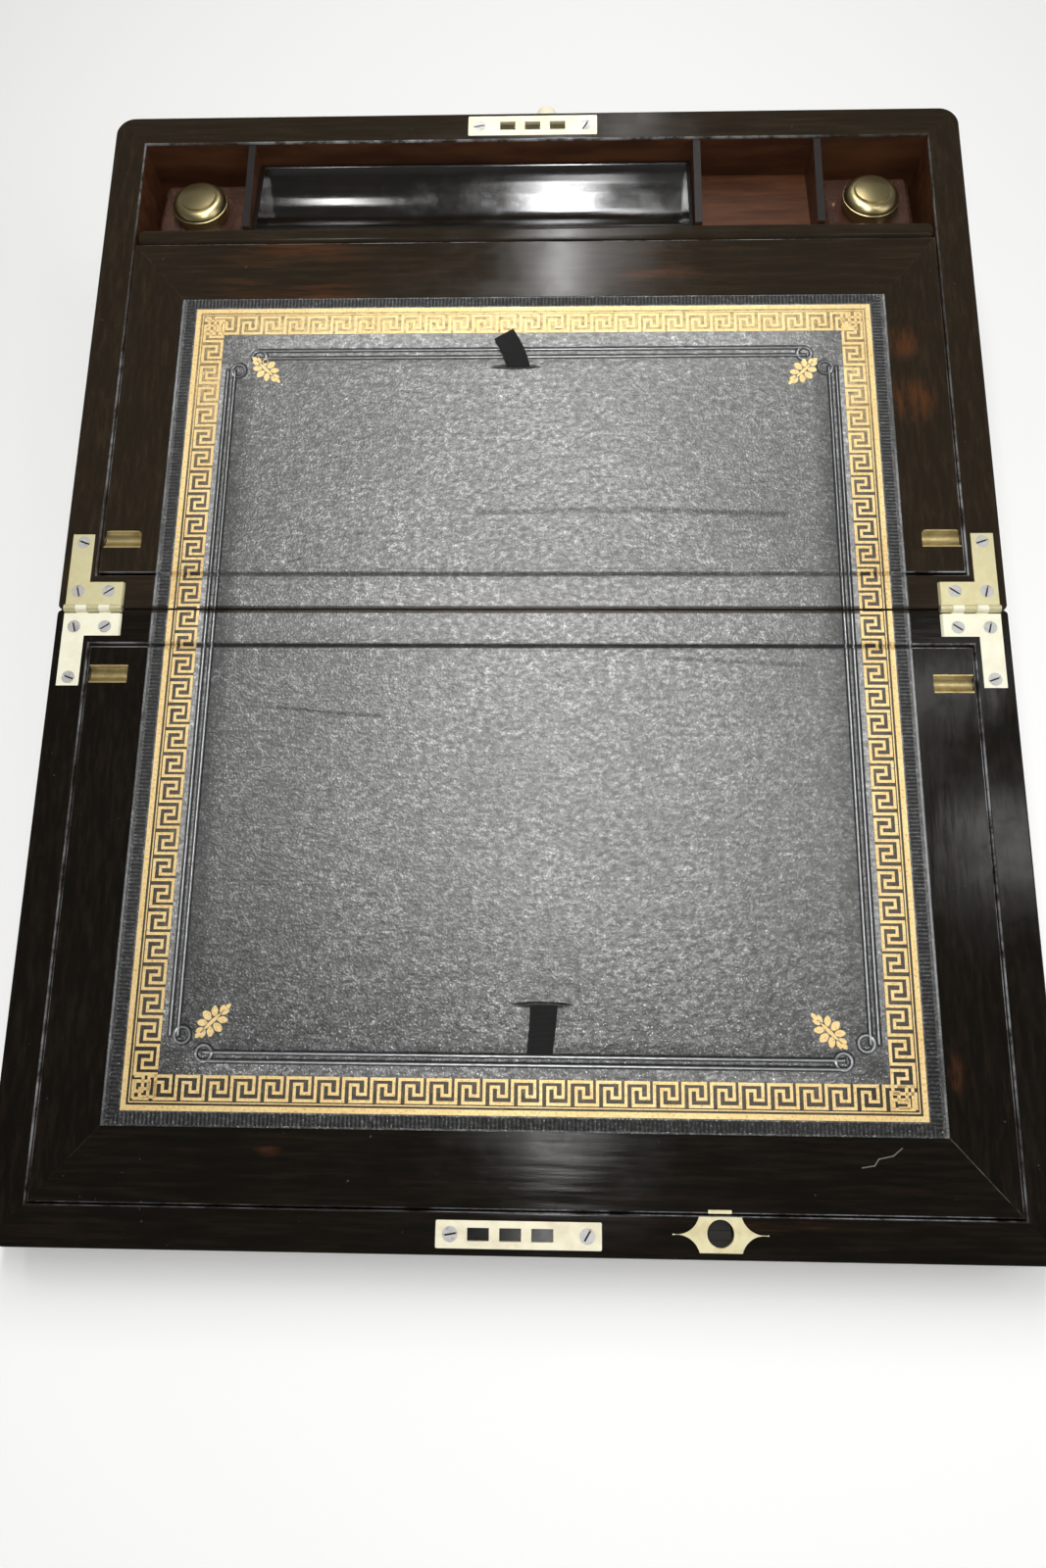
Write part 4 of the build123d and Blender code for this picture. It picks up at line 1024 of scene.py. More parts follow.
        # Painted shade in the grooves, the fold and the listed wrinkles; the pressed hatching and the border
        # past the gilt are darkened as tooled marks.
        fold = tree.near(tree.magnitude(spot.s), CREASE, *self.fold_width)
        black = tree.largest(
            tooling.groove,
            tree.product(fold, self.fold_dirt),
            self.wrinkle_mask(tree, spot),
            tree.band(spot.past_gilt, 0.0, self.border_blur, 0.0, 0.45),
            tree.band(tooling.hatching, 0.15, 0.7),
        )
        colour = tree.mix(tree.product(black, 0.85), colour, rgba(self.pressed))
        # Painted highlight on the burnished blind lines, as strong as shine.
        return tree.mix(tree.product(tooling.rubbed, self.shine), colour, rgba(self.burnished))

    def gilt_colour(self, tree: ShaderTree, spot: LeatherSpot, colour: NodeSocket) -> NodeSocket:
        """Darken the ground under the gilding, with gold dust at the far end.

        Args:
            tree: the node tree.
            spot: the shading point.
            colour: the leather's colour.

        Returns:
            The colour with the gilding's ground.
        """
        within = tree.band(spot.past_gilt, -0.2 * MM, 0.0, 1.0, 0.0)
        in_band = tree.product(within, tree.math("GREATER_THAN", spot.past_gilt, -self.plan.gilt_band))
        colour = tree.mix(tree.product(in_band, 0.92), colour, rgba(self.gilt_ground))
        dusty = tree.band(spot.s, *self.dusty, 0.03, 0.6)
        dust = tree.product(in_band, dusty, tree.band(spot.grain, 0.3, 0.55, 0.3, 1.0))
        return tree.mix(dust, colour, rgba(self.gold_dust))

    def edge_colour(self, tree: ShaderTree, spot: LeatherSpot, colour: NodeSocket) -> NodeSocket:
        """Rub the side edges pale in places, and darken the leather at the hinge line: its brown cut edges,
        widened as painted shade of the gap between the halves.

        Args:
            tree: the node tree.
            spot: the shading point.
            colour: the leather's colour.

        Returns:
            The colour with its edges.
        """
        side = tree.near(tree.magnitude(spot.x), self.plan.leather_x, *self.edge_width)
        rubbed = tree.product(side, tree.band(spot.broad, 0.35, 0.6), 0.6)
        colour = tree.mix(rubbed, colour, rgba(self.burnished))
        # The cut edges at the hinge line, widened into painted shade of the gap.
        return tree.mix(tree.near(spot.s, 0.0, *self.cut_width), colour, rgba(self.cut_edge))

    def relief(self, tree: ShaderTree, spot: LeatherSpot, tooling: Tooling) -> NodeSocket:
        """Tilt the surface by its marks, its fine wrinkles and its grain.

        Args:
            tree: the node tree.
            spot: the shading point.
            tooling: its marks.

        Returns:
            The normal.
        """
        sunk = tree.plus(tree.product(tooling.slit, 2.0), tree.product(tooling.groove, 0.8))
        normal = tree.bump(tree.minus(tooling.hatching, sunk), self.mark_depth)
        wrinkles = tree.noise(tree.scaled(spot.place, (1.0, 2.5, 1.0)), 75.0, 4.0, 0.6)
        normal = tree.bump(tree.band(wrinkles, 0.35, 0.75), self.wrinkle_depth, normal)
        pebbles = tree.plus(tree.product(spot.tops, 0.7), tree.product(spot.grain, 0.9))
        smoothed = tree.band(tooling.off_line, *self.smooth_width, 0.15, 1.0)
        return tree.bump(tree.product(pebbles, smoothed), self.grain_depth, normal)

    def material(self) -> Material:
        """Build the material.

        Returns:
            The material.
        """
        tree = ShaderTree(self.name)
        spot = self.spot(tree)
        tooling = self.tooling(tree, spot)
        colour = self.marked(tree, spot, tooling, self.worn_colour(tree, spot))
        colour = self.edge_colour(tree, spot, self.gilt_colour(tree, spot, colour))
        # Painted shade in the ribbon's slit.
        colour = tree.mix(tooling.slit, colour, rgba(self.open_slit))
        roughness = tree.band(spot.grain, 0.3, 0.7, *self.gloss)
        roughness = tree.mix(tooling.rubbed, roughness, self.rubbed_roughness, Blend.NUMBERS)
        normal = self.relief(tree, spot, tooling)
        return tree.finish(colour, roughness, normal, Metallic=self.metallic, Specular_IOR_Level=1.0)


@dataclass(frozen=True)
class GoldLeaf:
    """Gold leaf pressed into leather, rubbed thin at the folds and near the hinge."""

    fold_reach: float = 2.6 * MM
    hinge_reach: Range = (24.0 * MM, 45.0 * MM)
    base_side: Range = (0.0, 5.0 * MM)
    bright: Colour = (1.0, 0.76, 0.36)
    clouded: Colour = (0.93, 0.66, 0.28)
    dull: Colour = (0.52, 0.32, 0.11)
    leather: Colour = (0.045, 0.036, 0.028)
    gloss: Range = (0.40, 0.56)
    metallic: float = 0.4
    speck_depth: float = 0.10 * MM

    def material(self) -> Material:
        """Build the material.

        Returns:
            The material.
        """
        tree = ShaderTree("gold_leaf")
        place = tree.surface_place()
        _, s, _ = tree.parts(place)
        specks = tree.noise(place, 900.0, 4.0, 0.75)
        clouds = tree.noise(place, 60.0, 3.0, 0.6)
        colour = tree.mix(tree.band(clouds, 0.3, 0.7), rgba(self.bright), rgba(self.clouded))
        colour = tree.mix(tree.band(specks, 0.48, 0.72), colour, rgba(self.dull))
        off_fold = tree.magnitude(tree.minus(tree.magnitude(s), CREASE))
        at_fold = tree.band(off_fold, self.fold_reach * 0.3, self.fold_reach, 0.85, 0.0)
        at_hinge = tree.product(tree.band(s, *self.base_side), tree.band(s, *self.hinge_reach, 0.42, 0.0))
        rubbed = tree.product(tree.largest(at_fold, at_hinge), tree.band(specks, 0.35, 0.6))
        colour = tree.mix(rubbed, colour, rgba(self.dull))
        colour = tree.mix(tree.band(specks, 0.69, 0.76), colour, rgba(self.leather))
        roughness = tree.band(specks, 0.3, 0.7, *self.gloss)
        return tree.finish(colour, roughness, tree.bump(specks, self.speck_depth), Metallic=self.metallic)


@dataclass(frozen=True)
class Brass:
    """Old brass: rubbed bright, finely scratched, and darker where dirt gathers; on the lid's hinge leaves
    and the plates the bright colour is a painted reflection.
    """

    name: str
    bright: Colour
    dull: Colour = (0.50, 0.38, 0.16)
    dullness: float = 0.35
    roughness: float = 0.40
    metallic: float = 0.6
    scratch: float = 0.02 * MM
    haze: float = 0.16

    def material(self) -> Material:
        """Build the material.

        Returns:
            The material.
        """
        tree = ShaderTree(self.name)
        place = tree.object_place()
        scratches = tree.noise(tree.scaled(place, (1.0, 14.0, 14.0)), 420.0, 4.0, 0.75)
        clouds = tree.noise(place, 130.0, 5.0, 0.65)
        tarnish = tree.product(tree.band(clouds, 0.38, 0.72), self.dullness)
        colour = tree.mix(tarnish, rgba(self.bright), rgba(self.dull))
        roughness = tree.band(clouds, 0.3, 0.75, self.roughness, self.roughness + self.haze)
        return tree.finish(colour, roughness, tree.bump(scratches, self.scratch), Metallic=self.metallic)


@dataclass(frozen=True)
class Steel:
    """Bright steel gone grey, as of old screws, with painted shade in their slots."""

    slope: Slope
    pale: Colour = (0.58, 0.57, 0.55)
    dark: Colour = (0.34, 0.32, 0.30)
    slot: Colour = (0.020, 0.017, 0.014)
    gloss: Range = (0.38, 0.53)
    metallic: float = 0.55
    pitting: float = 0.02 * MM
    slot_depth: float = 0.25 * MM

    def material(self) -> Material:
        """Build the material.

        Returns:
            The material.
        """
        tree = ShaderTree("steel")
        spot = Spot.of(tree, self.slope)
        spots = tree.noise(spot.place, 420.0, 3.0, 0.6)
        colour = tree.mix(tree.band(spots, 0.5, 0.78), rgba(self.pale), rgba(self.dark))
        # Painted shade wherever the steel lies deeper than about half a millimetre below the rims, as in the
        # screws' slots.
        sunk = tree.band(spot.n, -2 * self.slot_depth, -self.slot_depth, 1.0, 0.0)
        colour = tree.mix(sunk, colour, rgba(self.slot))
        roughness = tree.band(spots, 0.3, 0.7, *self.gloss)
        return tree.finish(colour, roughness, tree.bump(spots, self.pitting), Metallic=self.metallic)


@dataclass(frozen=True)
class InkGlass:
    """Clear bottle glass, tinted red-brown as a painted reflection of the wood around it, and faintly
    rippled.
    """

    tint: Colour = (0.82, 0.52, 0.40)
    stain: Colour = (0.66, 0.34, 0.24)
    ripple: float = 0.12 * MM
    roughness: float = 0.05
    clearness: float = 0.93
    refraction: float = 1.5

    def material(self) -> Material:
        """Build the material.

        Returns:
            The material.
        """
        tree = ShaderTree("ink_glass")
        waves = tree.noise(tree.object_place(), 90.0, 2.0, 0.5)
        colour = tree.mix(tree.band(waves, 0.3, 0.7), rgba(self.tint), rgba(self.stain))
        normal = tree.bump(waves, self.ripple)
        glass = {"Transmission_Weight": self.clearness, "IOR": self.refraction}
        return tree.finish(colour, self.roughness, normal, **glass)


@dataclass(frozen=True)
class SilkRibbon:
    """Black ribbed silk ribbon."""

    dark: Colour = (0.005, 0.005, 0.005)
    pale: Colour = (0.018, 0.017, 0.016)
    rib_pitch: float = 0.45 * MM
    rib_depth: float = 0.05 * MM
    roughness: float = 0.6

    def material(self) -> Material:
        """Build the material.

        Returns:
            The material.
        """
        tree = ShaderTree("silk_ribbon")
        place = tree.surface_place()
        _, s, _ = tree.parts(place)
        ribs = tree.math("SINE", tree.product(s, 2 * math.pi / self.rib_pitch))
        weave = tree.plus(ribs, tree.noise(place, 1500.0, 3.0, 0.7))
        colour = tree.mix(tree.band(weave, 0.0, 1.6), rgba(self.dark), rgba(self.pale))
        silk = {"Specular_IOR_Level": 0.2, "Sheen_Weight": 0.03, "Sheen_Roughness": 0.4}
        return tree.finish(colour, self.roughness, tree.bump(weave, self.rib_depth), **silk)


# ---- mesh helpers ----


def bisect(mesh: BMesh, place: Vector, normal: Vector, clear_inner: bool = False) -> None:
    """Cut a mesh by a plane.

    Args:
        mesh: the mesh.
        place: a point on the plane.
        normal: the plane's normal.
        clear_inner: whether what lies behind the plane is deleted.
    """
    geometry = [*mesh.verts, *mesh.edges, *mesh.faces]
    bmesh.ops.bisect_plane(
        mesh, geom=geometry, dist=MERGE_DISTANCE / 2, plane_co=place, plane_no=normal, clear_inner=clear_inner
    )


def rectangle(mesh: BMesh, low: Point, high: Point) -> None:
    """Add a flat rectangle at n = 0.

    Args:
        mesh: the mesh to draw in.
        low: its corner of lowest x and s.
        high: its corner of highest x and s.
    """
    grid = bmesh.ops.create_grid(mesh, x_segments=1, y_segments=1, size=0.5)
    middle = Vector(((low[0] + high[0]) / 2, (low[1] + high[1]) / 2, 0.0))
    bmesh.ops.scale(mesh, vec=(high[0] - low[0], high[1] - low[1], 1.0), verts=grid["verts"])
    bmesh.ops.translate(mesh, vec=middle, verts=grid["verts"])


def stroke(mesh: BMesh, points: Sequence[Point], width: float, closed: bool = False) -> None:
    """Draw a flat mitred line at n = 0 by extruding its cross edge from point to point.

    Args:
        mesh: the mesh to draw in.
        points: the line's corners, in x and s.
        width: the line's width.
        closed: whether the line comes back to its first point.
    """
    places = [Vector(point) for point in points]
    count = len(places)
    steps = range(count + 1) if closed else range(count)
    corners = []
    for step in steps:
        here = places[step % count]
        before = places[(step - 1) % count] if closed or step > 0 else None
        after = places[(step + 1) % count] if closed or step < count - 1 else None
        ways = [(here - before).normalized()] if before is not None else []
        ways += [(after - here).normalized()] if after is not None else []
        sides = [Vector((-way.y, way.x)) for way in ways]
        total = sides[0] + sides[-1]
        offset = total * (width / (total @ total)) if len(sides) > 1 else sides[0] * (width / 2)
        corners.append(((here + offset).to_3d(), (here - offset).to_3d()))
    ends = [mesh.verts.new(corner) for corner in corners[0]]
    for left, right in corners[1:]:
        edge = mesh.edges.get(ends) or mesh.edges.new(ends)
        extruded = bmesh.ops.extrude_edge_only(mesh, edges=[edge])["geom"]
        fresh = [item for item in extruded if isinstance(item, bmesh.types.BMVert)]
        fresh.sort(key=lambda vertex: (vertex.co - ends[0].co).length)
        fresh[0].co, fresh[1].co = left, right
        ends = fresh


def finished(name: str, mesh: BMesh, material: Material, slope: Slope | None = None) -> Object:
    """Turn a bmesh into a piece.

    Args:
        name: the piece's name.
        mesh: the finished bmesh, which is freed.
        material: the piece's material.
        slope: the slope, where the mesh is in slope coordinates; x and s then go into its UV map.

    Returns:
        The piece, at the origin.
    """
    bmesh.ops.remove_doubles(mesh, verts=mesh.verts, dist=MERGE_DISTANCE)
    if slope is not None:
        surface = mesh.loops.layers.uv.new("surface")
        for face in mesh.faces:
            for loop in face.loops:
                loop[surface].uv = loop.vert.co.xy
        bmesh.ops.transform(mesh, matrix=slope.matrix, verts=mesh.verts)
    bmesh.ops.recalc_face_normals(mesh, faces=mesh.faces)
    data = bpy.data.meshes.new(name)
    mesh.to_mesh(data)
    mesh.free()
    data.materials.append(material)
    piece = bpy.data.objects.new(name, data)
    bpy.context.scene.collection.objects.link(piece)
    return piece


def shade_smooth(piece: Object, angle: float = math.radians(40.0)) -> None:
    """Shade a piece smoothly, apart from its sharp edges."""
    piece.data.shade_smooth()
    piece.data.set_sharp_from_angle(angle=angle)


# ---- leather and gilding ----


@dataclass(frozen=True)
class BlindLine:
    """One straight pressed line in the leather, across x or along s."""

    across: bool
    place: float
    start: float
    end: float
    depth: float = 0.42 * MM
    half_width: float = 0.95 * MM

    def height(self, x: float, s: float) -> float:
        """Measure how far the line sinks the surface.

        Args:
            x: the place's x.
            s: the place's s.

        Returns:
            The height, 0 or less.
        """
        run, off = (x, s - self.place) if self.across else (s, x - self.place)
        if not self.start <= run <= self.end or abs(off) >= self.half_width:
            return 0.0
        return -self.depth * math.cos(math.pi / 2 * off / self.half_width) ** 2


@dataclass
class WritingLeather:
    """The leather of one half: a fixed strip, the fold, and the flap's sheet, in one piece."""

    half: Half
    slope: Slope
    plan: ToolingPlan
    strip: Object
    sheet: Object
    slit: Point
    valley: float = 0.50 * MM
    valley_half: float = 0.9 * MM
    ridge: float = 0.22 * MM
    ridge_reach: float = 3.0 * MM
    bend_half: float = 1.6 * MM
    fold_steps: tuple[float, ...] = (0.0, 0.3, 0.6, 0.9, 1.3, 1.7, 2.1, 2.6, 3.0)
    line_shares: tuple[float, ...] = (-1.0, -0.6, -0.3, 0.0, 0.3, 0.6, 1.0)
    line_end: float = 0.1 * MM
    lines: list[BlindLine] = field(default_factory=list)

    def __post_init__(self) -> None:
        """Measure the leather and lay out its blind lines."""
        low, high = self.slope.extent(self.strip)
        sheet_low, sheet_high = self.slope.extent(self.sheet)
        self.low = (low.x, min(low.y, sheet_low.y))
        self.high = (high.x, max(high.y, sheet_high.y))
        self.top = high.z
        self.thickness = high.z - low.z
        plan = self.plan
        near, far = plan.corner_near, plan.corner_far
        for hand in (1, -1):
            self.lines += [BlindLine(False, hand * x, near, far) for x in plan.blind_x]
        rows = plan.blind_far if self.half is Half.BASE else plan.blind_near
        self.lines += [BlindLine(True, s, -plan.corner_x, plan.corner_x) for s in rows]

    def relief(self, x: float, s: float) -> float:
        """How far the surface stands off its plain level.

        Args:
            x: the place's x.
            s: the place's s.

        Returns:
            The height, negative in the fold and the blind lines.
        """
        height = min((line.height(x, s) for line in self.lines), default=0.0)
        off = abs(abs(s) - CREASE)
        if off < self.valley_half:
            return height - self.valley * math.cos(math.pi / 2 * off / self.valley_half) ** 2
        if off < self.ridge_reach:
            share = (off - self.valley_half) / (self.ridge_reach - self.valley_half)
            return height + self.ridge * math.sin(math.pi * share) ** 2
        return height

    def fold_cuts(self) -> list[float]:
        """The values of s at which the surface is cut to take the fold."""
        middle = self.half.value * CREASE
        return sorted({middle + hand * step * MM for step in self.fold_steps for hand in (1, -1)})

    def line_cuts(self, across: bool) -> list[float]:
        """List where the surface is cut to take the blind lines and their ends.

        Args:
            across: whether the lines cut along run across x.

        Returns:
            The values of s, or else of x.
        """
        sides = [line for line in self.lines if line.across is across]
        cuts = [line.place + share * line.half_width for line in sides for share in self.line_shares]
        ends = {run for line in self.lines if line.across is not across for run in (line.start, line.end)}
        return cuts + [end + step for end in ends for step in (-self.line_end, self.line_end)]

    def build(self) -> Object:
        """Make the leather in one piece, sunk at its fold and its blind lines.

        Returns:
            The piece.
        """
        mesh = bmesh.new()
        rectangle(mesh, self.low, self.high)
        for x in self.line_cuts(across=False):
            bisect(mesh, Vector((x, 0, 0)), Vector((1, 0, 0)))
        for s in self.line_cuts(across=True) + self.fold_cuts():
            bisect(mesh, Vector((0, s, 0)), Vector((0, 1, 0)))
        bmesh.ops.solidify(mesh, geom=mesh.faces[:], thickness=self.thickness)
        highest = max(vertex.co.z for vertex in mesh.verts)
        bmesh.ops.translate(mesh, vec=(0, 0, self.top - highest), verts=mesh.verts)
        for vertex in mesh.verts:
            if vertex.co.z > self.top - self.thickness / 2:
                vertex.co.z += self.relief(vertex.co.x, vertex.co.y)
        body, flap = self.half.body, self.half.flap
        fold_shade_level, shine = FOLD_SHADE_AND_SHINE[self.half]
        finish = TooledLeather(f"{body}_leather", self.plan, self.slit, fold_shade_level, shine, WRINKLES[self.half])
        piece = finished(f"{body}_writing_leather", mesh, finish.material(), self.slope)
        shade_smooth(piece)
        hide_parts(self.strip.name, self.sheet.name)
        self.bend(piece)
        return piece

    def bend(self, piece: Object) -> None:
        """Bake a piece's place into its mesh; the ends of the fold are worked out but not used.

        Args:
            piece: the leather or its gilding.
        """
        steps = (-self.bend_half, self.bend_half)
        start, end = (self.slope.point(0, self.half.value * (CREASE + step), self.top) for step in steps)
        self.half.body
        self.half.flap
        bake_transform(piece)
        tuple(start)
        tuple(end)


# The Greek key's turns within one unit: how far along it, and how high, both as shares.
KEY_TURNS: tuple[Point, ...] = (
    (0, 0),
    (0, 1),
    (0.79, 1),
    (0.79, 0.32),
    (0.51, 0.32),
    (0.51, 0.725),
    (0.25, 0.725),
    (0.25, 0),
)


@dataclass(frozen=True)
class Petal:
    """A petal of a fleuron, in millimetres and degrees from the fleuron's long axis."""

    run: float
    rise: float
    turn: float
    length: float
    width: float


# A petal that stands off the long axis is there twice, on both sides of it.
PETALS = (
    Petal(-8.0, 0.0, 0, 3.4, 1.8),
    Petal(7.6, 0.0, 0, 2.8, 2.0),
    Petal(0.0, 3.2, 92, 4.4, 3.2),
    Petal(-3.3, 2.4, 132, 4.2, 2.8),
    Petal(3.2, 2.4, 48, 4.2, 2.8),
    Petal(-6.0, 1.0, 164, 3.4, 1.7),
    Petal(5.8, 1.1, 18, 3.4, 1.8),
    Petal(0.0, 0.0, 0, 9.2, 1.5),
)


@dataclass
class GiltBand:
    """The gilded border of one half: two lines and a Greek key, with a fleuron in each corner.

    A bar is where an upright of the key stands on that side of the border: its x in the far and
    near rows, and its s in the left and right ones.
    """

    leather: WritingLeather
    finish: Material
    outer_width: float = 2.1 * MM
    inner_at: float = 3.2 * MM
    inner_width: float = 0.45 * MM
    key_from: float = 4.5 * MM
    key_height: float = 8.45 * MM
    key_width: float = 1.18 * MM
    pitch: float = 10.88 * MM
    leaf: float = 0.07 * MM
    far_bar: float = -134.9 * MM
    near_bar: float = -122.7 * MM
    left_bar: float = 1.93 * MM
    right_bar: float = -1.5 * MM
    hinge_gap: float = 0.5 * MM
    petal_point: float = 0.4
    sunk_share: float = 0.4
    fleuron_far: tuple[Point, Point] = ((-120.5 * MM, 117.6 * MM), (123.2 * MM, 115.3 * MM))
    fleuron_near: tuple[Point, Point] = ((-121.4 * MM, -173.6 * MM), (119.2 * MM, -174.7 * MM))

    def key_row(self, mesh: BMesh, start: Vector, along: Vector, length: float, first: float) -> None:
        """Draw the Greek key along one side of the border.

        Args:
            mesh: the mesh to draw in.
            start: where the key's outer edge starts.
            along: the direction of travel, with the border's middle on its left.
            length: how far the row runs.
            first: how far past the start its first upright stands.
        """
        inward = Vector((-along.y, along.x))
        points = []
        for unit in range(-1, int(length / self.pitch) + 2):
            for run, rise in KEY_TURNS:
                far = first + (unit + run) * self.pitch
                points.append(start + along * far + inward * rise * self.key_height)
        row = bmesh.new()
        stroke(row, [tuple(point) for point in points], self.key_width)
        end = start + along * length
        bisect(row, start.to_3d(), along.to_3d(), clear_inner=True)
        bisect(row, end.to_3d(), -along.to_3d(), clear_inner=True)
        data = bpy.data.meshes.new("key_row")
        row.to_mesh(data)
        row.free()
        mesh.from_mesh(data)
        bpy.data.meshes.remove(data)

    def border(self, mesh: BMesh) -> None:
        """Draw the lines and the four rows of the key, for both halves.

        Args:
            mesh: the mesh to draw in.
        """
        plan = self.leather.plan
        for inset, width in ((self.outer_width / 2, self.outer_width), (self.inner_at, self.inner_width)):
            x, far, near = plan.gilt_x - inset, plan.gilt_far - inset, plan.gilt_near + inset
            stroke(mesh, [(-x, near), (x, near), (x, far), (-x, far)], width, closed=True)
        x = plan.gilt_x - self.key_from
        far, near = plan.gilt_far - self.key_from, plan.gilt_near + self.key_from
        rows = (
            (Vector((-x, near)), Vector((1, 0)), 2 * x, self.near_bar + x),
            (Vector((x, near)), Vector((0, 1)), far - near, self.right_bar - near),
            (Vector((x, far)), Vector((-1, 0)), 2 * x, x - self.far_bar),
            (Vector((-x, far)), Vector((0, -1)), far - near, far - self.left_bar),
        )
        for start, along, length, first in rows:
            self.key_row(mesh, start, along, length, first % self.pitch)

    def petal(self, mesh: BMesh, middle: Vector, angle: float, length: float, width: float) -> None:
        """Draw one pointed petal.

        Args:
            mesh: the mesh to draw in.
            middle: the petal's middle, in x and s.
            angle: the way it points.
            length: its length.
            width: its width.
        """
        disc = bmesh.ops.create_circle(mesh, cap_ends=True, segments=12, radius=0.5)["verts"]
        for vertex in disc:
            vertex.co.y *= 1.0 - abs(vertex.co.x) * self.petal_point
        bmesh.ops.scale(mesh, vec=(length, width, 1.0), verts=disc)
        bmesh.ops.rotate(mesh, matrix=Matrix.Rotation(angle, 3, "Z"), verts=disc)
        bmesh.ops.translate(mesh, vec=middle.to_3d(), verts=disc)

    def fleuron(self, mesh: BMesh, middle: Point, hand: int, way: int) -> None:
        """Draw a lozenge of petals with its long axis towards the border's corner.

        Args:
            mesh: the mesh to draw in.
            middle: the fleuron's middle, in x and s.
            hand: 1 on the right and -1 on the left.
            way: 1 at the far end and -1 at the near end.
        """
        axis = math.atan2(way, hand)
        long_way = Vector((math.cos(axis), math.sin(axis)))
        cross = Vector((-long_way.y, long_way.x))
        for petal in PETALS:
            for side in (1, -1) if petal.rise else (1,):
                place = Vector(middle) + (long_way * petal.run + cross * petal.rise * side) * MM
                angle = axis + math.radians(petal.turn) * side
                self.petal(mesh, place, angle, petal.length * MM, petal.width * MM)

    def build(self) -> Object:
        """Make the half's gilding, laid on the leather and following its relief.

        Returns:
            The piece.
        """
        half = self.leather.half
        mesh = bmesh.new()
        self.border(mesh)
        corners = self.fleuron_far if half is Half.BASE else self.fleuron_near
        for middle in corners:
            self.fleuron(mesh, middle, 1 if middle[0] > 0 else -1, half.value)
        edge = Vector((0, half.value * self.hinge_gap, 0))
        bisect(mesh, edge, Vector((0, half.value, 0)), clear_inner=True)
        for s in self.leather.fold_cuts():
            bisect(mesh, Vector((0, s, 0)), Vector((0, 1, 0)))
        bmesh.ops.solidify(mesh, geom=mesh.faces[:], thickness=self.leaf)
        lowest = min(vertex.co.z for vertex in mesh.verts)
        level = self.leather.top - self.leaf * self.sunk_share
        for vertex in mesh.verts:
            vertex.co.z += level - lowest + self.leather.relief(vertex.co.x, vertex.co.y)
        piece = finished(f"{half.body}_gilding", mesh, self.finish, self.leather.slope)
        self.leather.bend(piece)
        return piece


# ---- ribbons ----


@dataclass(frozen=True)
class RibbonFall:
    """How a ribbon lies: its lean to the side, its slanted end, its arch and its raised tail."""

    lean: float = -1.6 * MM
    slant: float = 0.0
    arch: float = 0.6 * MM
    tail_rise: float = 0.4 * MM
    tail_width: float = 10.0 * MM


RIBBON_FALL: dict[Half, RibbonFall] = {
    Half.BASE: RibbonFall(-6.8 * MM, 5.4 * MM, 0.85 * MM, 1.05 * MM, 8.6 * MM),
    Half.LID: RibbonFall(),
}


@dataclass
class RibbonTab:
    """The ribbon that a flap is lifted by: out of its slit in a low arch, its end a little raised."""

    half: Half
    slope: Slope
    node: Object
    finish: Material
    root_width: float = 10.8 * MM
    thickness: float = 0.3 * MM
    cup: float = 0.25 * MM
    lean_power: float = 1.4
    rows: int = 14
    columns: int = 4

    def build(self) -> Object:
        """Make the ribbon, ride it on its flap and let it replace its solid.

        Returns:
            The piece.
        """
        low, high = self.slope.extent(self.node)
        fall = RIBBON_FALL[self.half]
        way = self.half.value
        root = way * min(abs(low.y), abs(high.y))
        length = high.y - low.y
        middle = (low.x + high.x) / 2
        mesh = bmesh.new()
        rectangle(mesh, (-0.5, 0.0), (0.5, 1.0))
        for row in range(1, self.rows):
            bisect(mesh, Vector((0, row / self.rows, 0)), Vector((0, 1, 0)))
        for column in range(1, self.columns):
            bisect(mesh, Vector((column / self.columns - 0.5, 0, 0)), Vector((1, 0, 0)))
        for vertex in mesh.verts:
            run, across = vertex.co.y, vertex.co.x
            width = self.root_width + (fall.tail_width - self.root_width) * run
            rise = fall.arch * 4 * run * (1 - run) + fall.tail_rise * run**2
            cupped = self.cup * (2 * across) ** 2 * math.sin(math.pi * run)
            vertex.co = (
                middle + across * width + fall.lean * run**self.lean_power,
                root + way * run * (length - fall.slant * (0.5 - across)),
                low.z + self.thickness + rise + cupped,
            )
        bmesh.ops.solidify(mesh, geom=mesh.faces[:], thickness=self.thickness)
        piece = finished(f"{self.half.flap}_ribbon_tab", mesh, self.finish, self.slope)
        shade_smooth(piece)
        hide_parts(self.node.name)
        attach(piece, self.half.flap)
        return piece


# ---- the box's own nodes ----


WALL_GRAIN = {
    "hinge_wall": Grain.ACROSS,
    "lock_wall": Grain.ACROSS,
    "left_wall": Grain.ALONG,
    "right_wall": Grain.ALONG,
}
FLOOR_BOARD = {Half.BASE: "base_bottom_board", Half.LID: "lid_top_board"}
INNER_BOARDS = (
    "inkwell_partition_left",
    "inkwell_partition_right",
    "well_partition",
    "well_floor",
    "pen_section_floor",
    "pen_section_divider",
    "pen_tray_bearers",
    "base_flap_bearers",
    "lid_flap_bearers",
    "base_flap_panel",
    "lid_flap_panel",
)
SCREWS_AND_PINS = (
    "base_hinge_screws",
    "lid_hinge_screws",
    "lock_plate_screws",
    "striker_plate_screws",
    "hinge_pins",
)
CLAWS_AND_BOLT = ("lock_claw_left", "lock_claw_middle", "lock_claw_right", "catch_bolt")


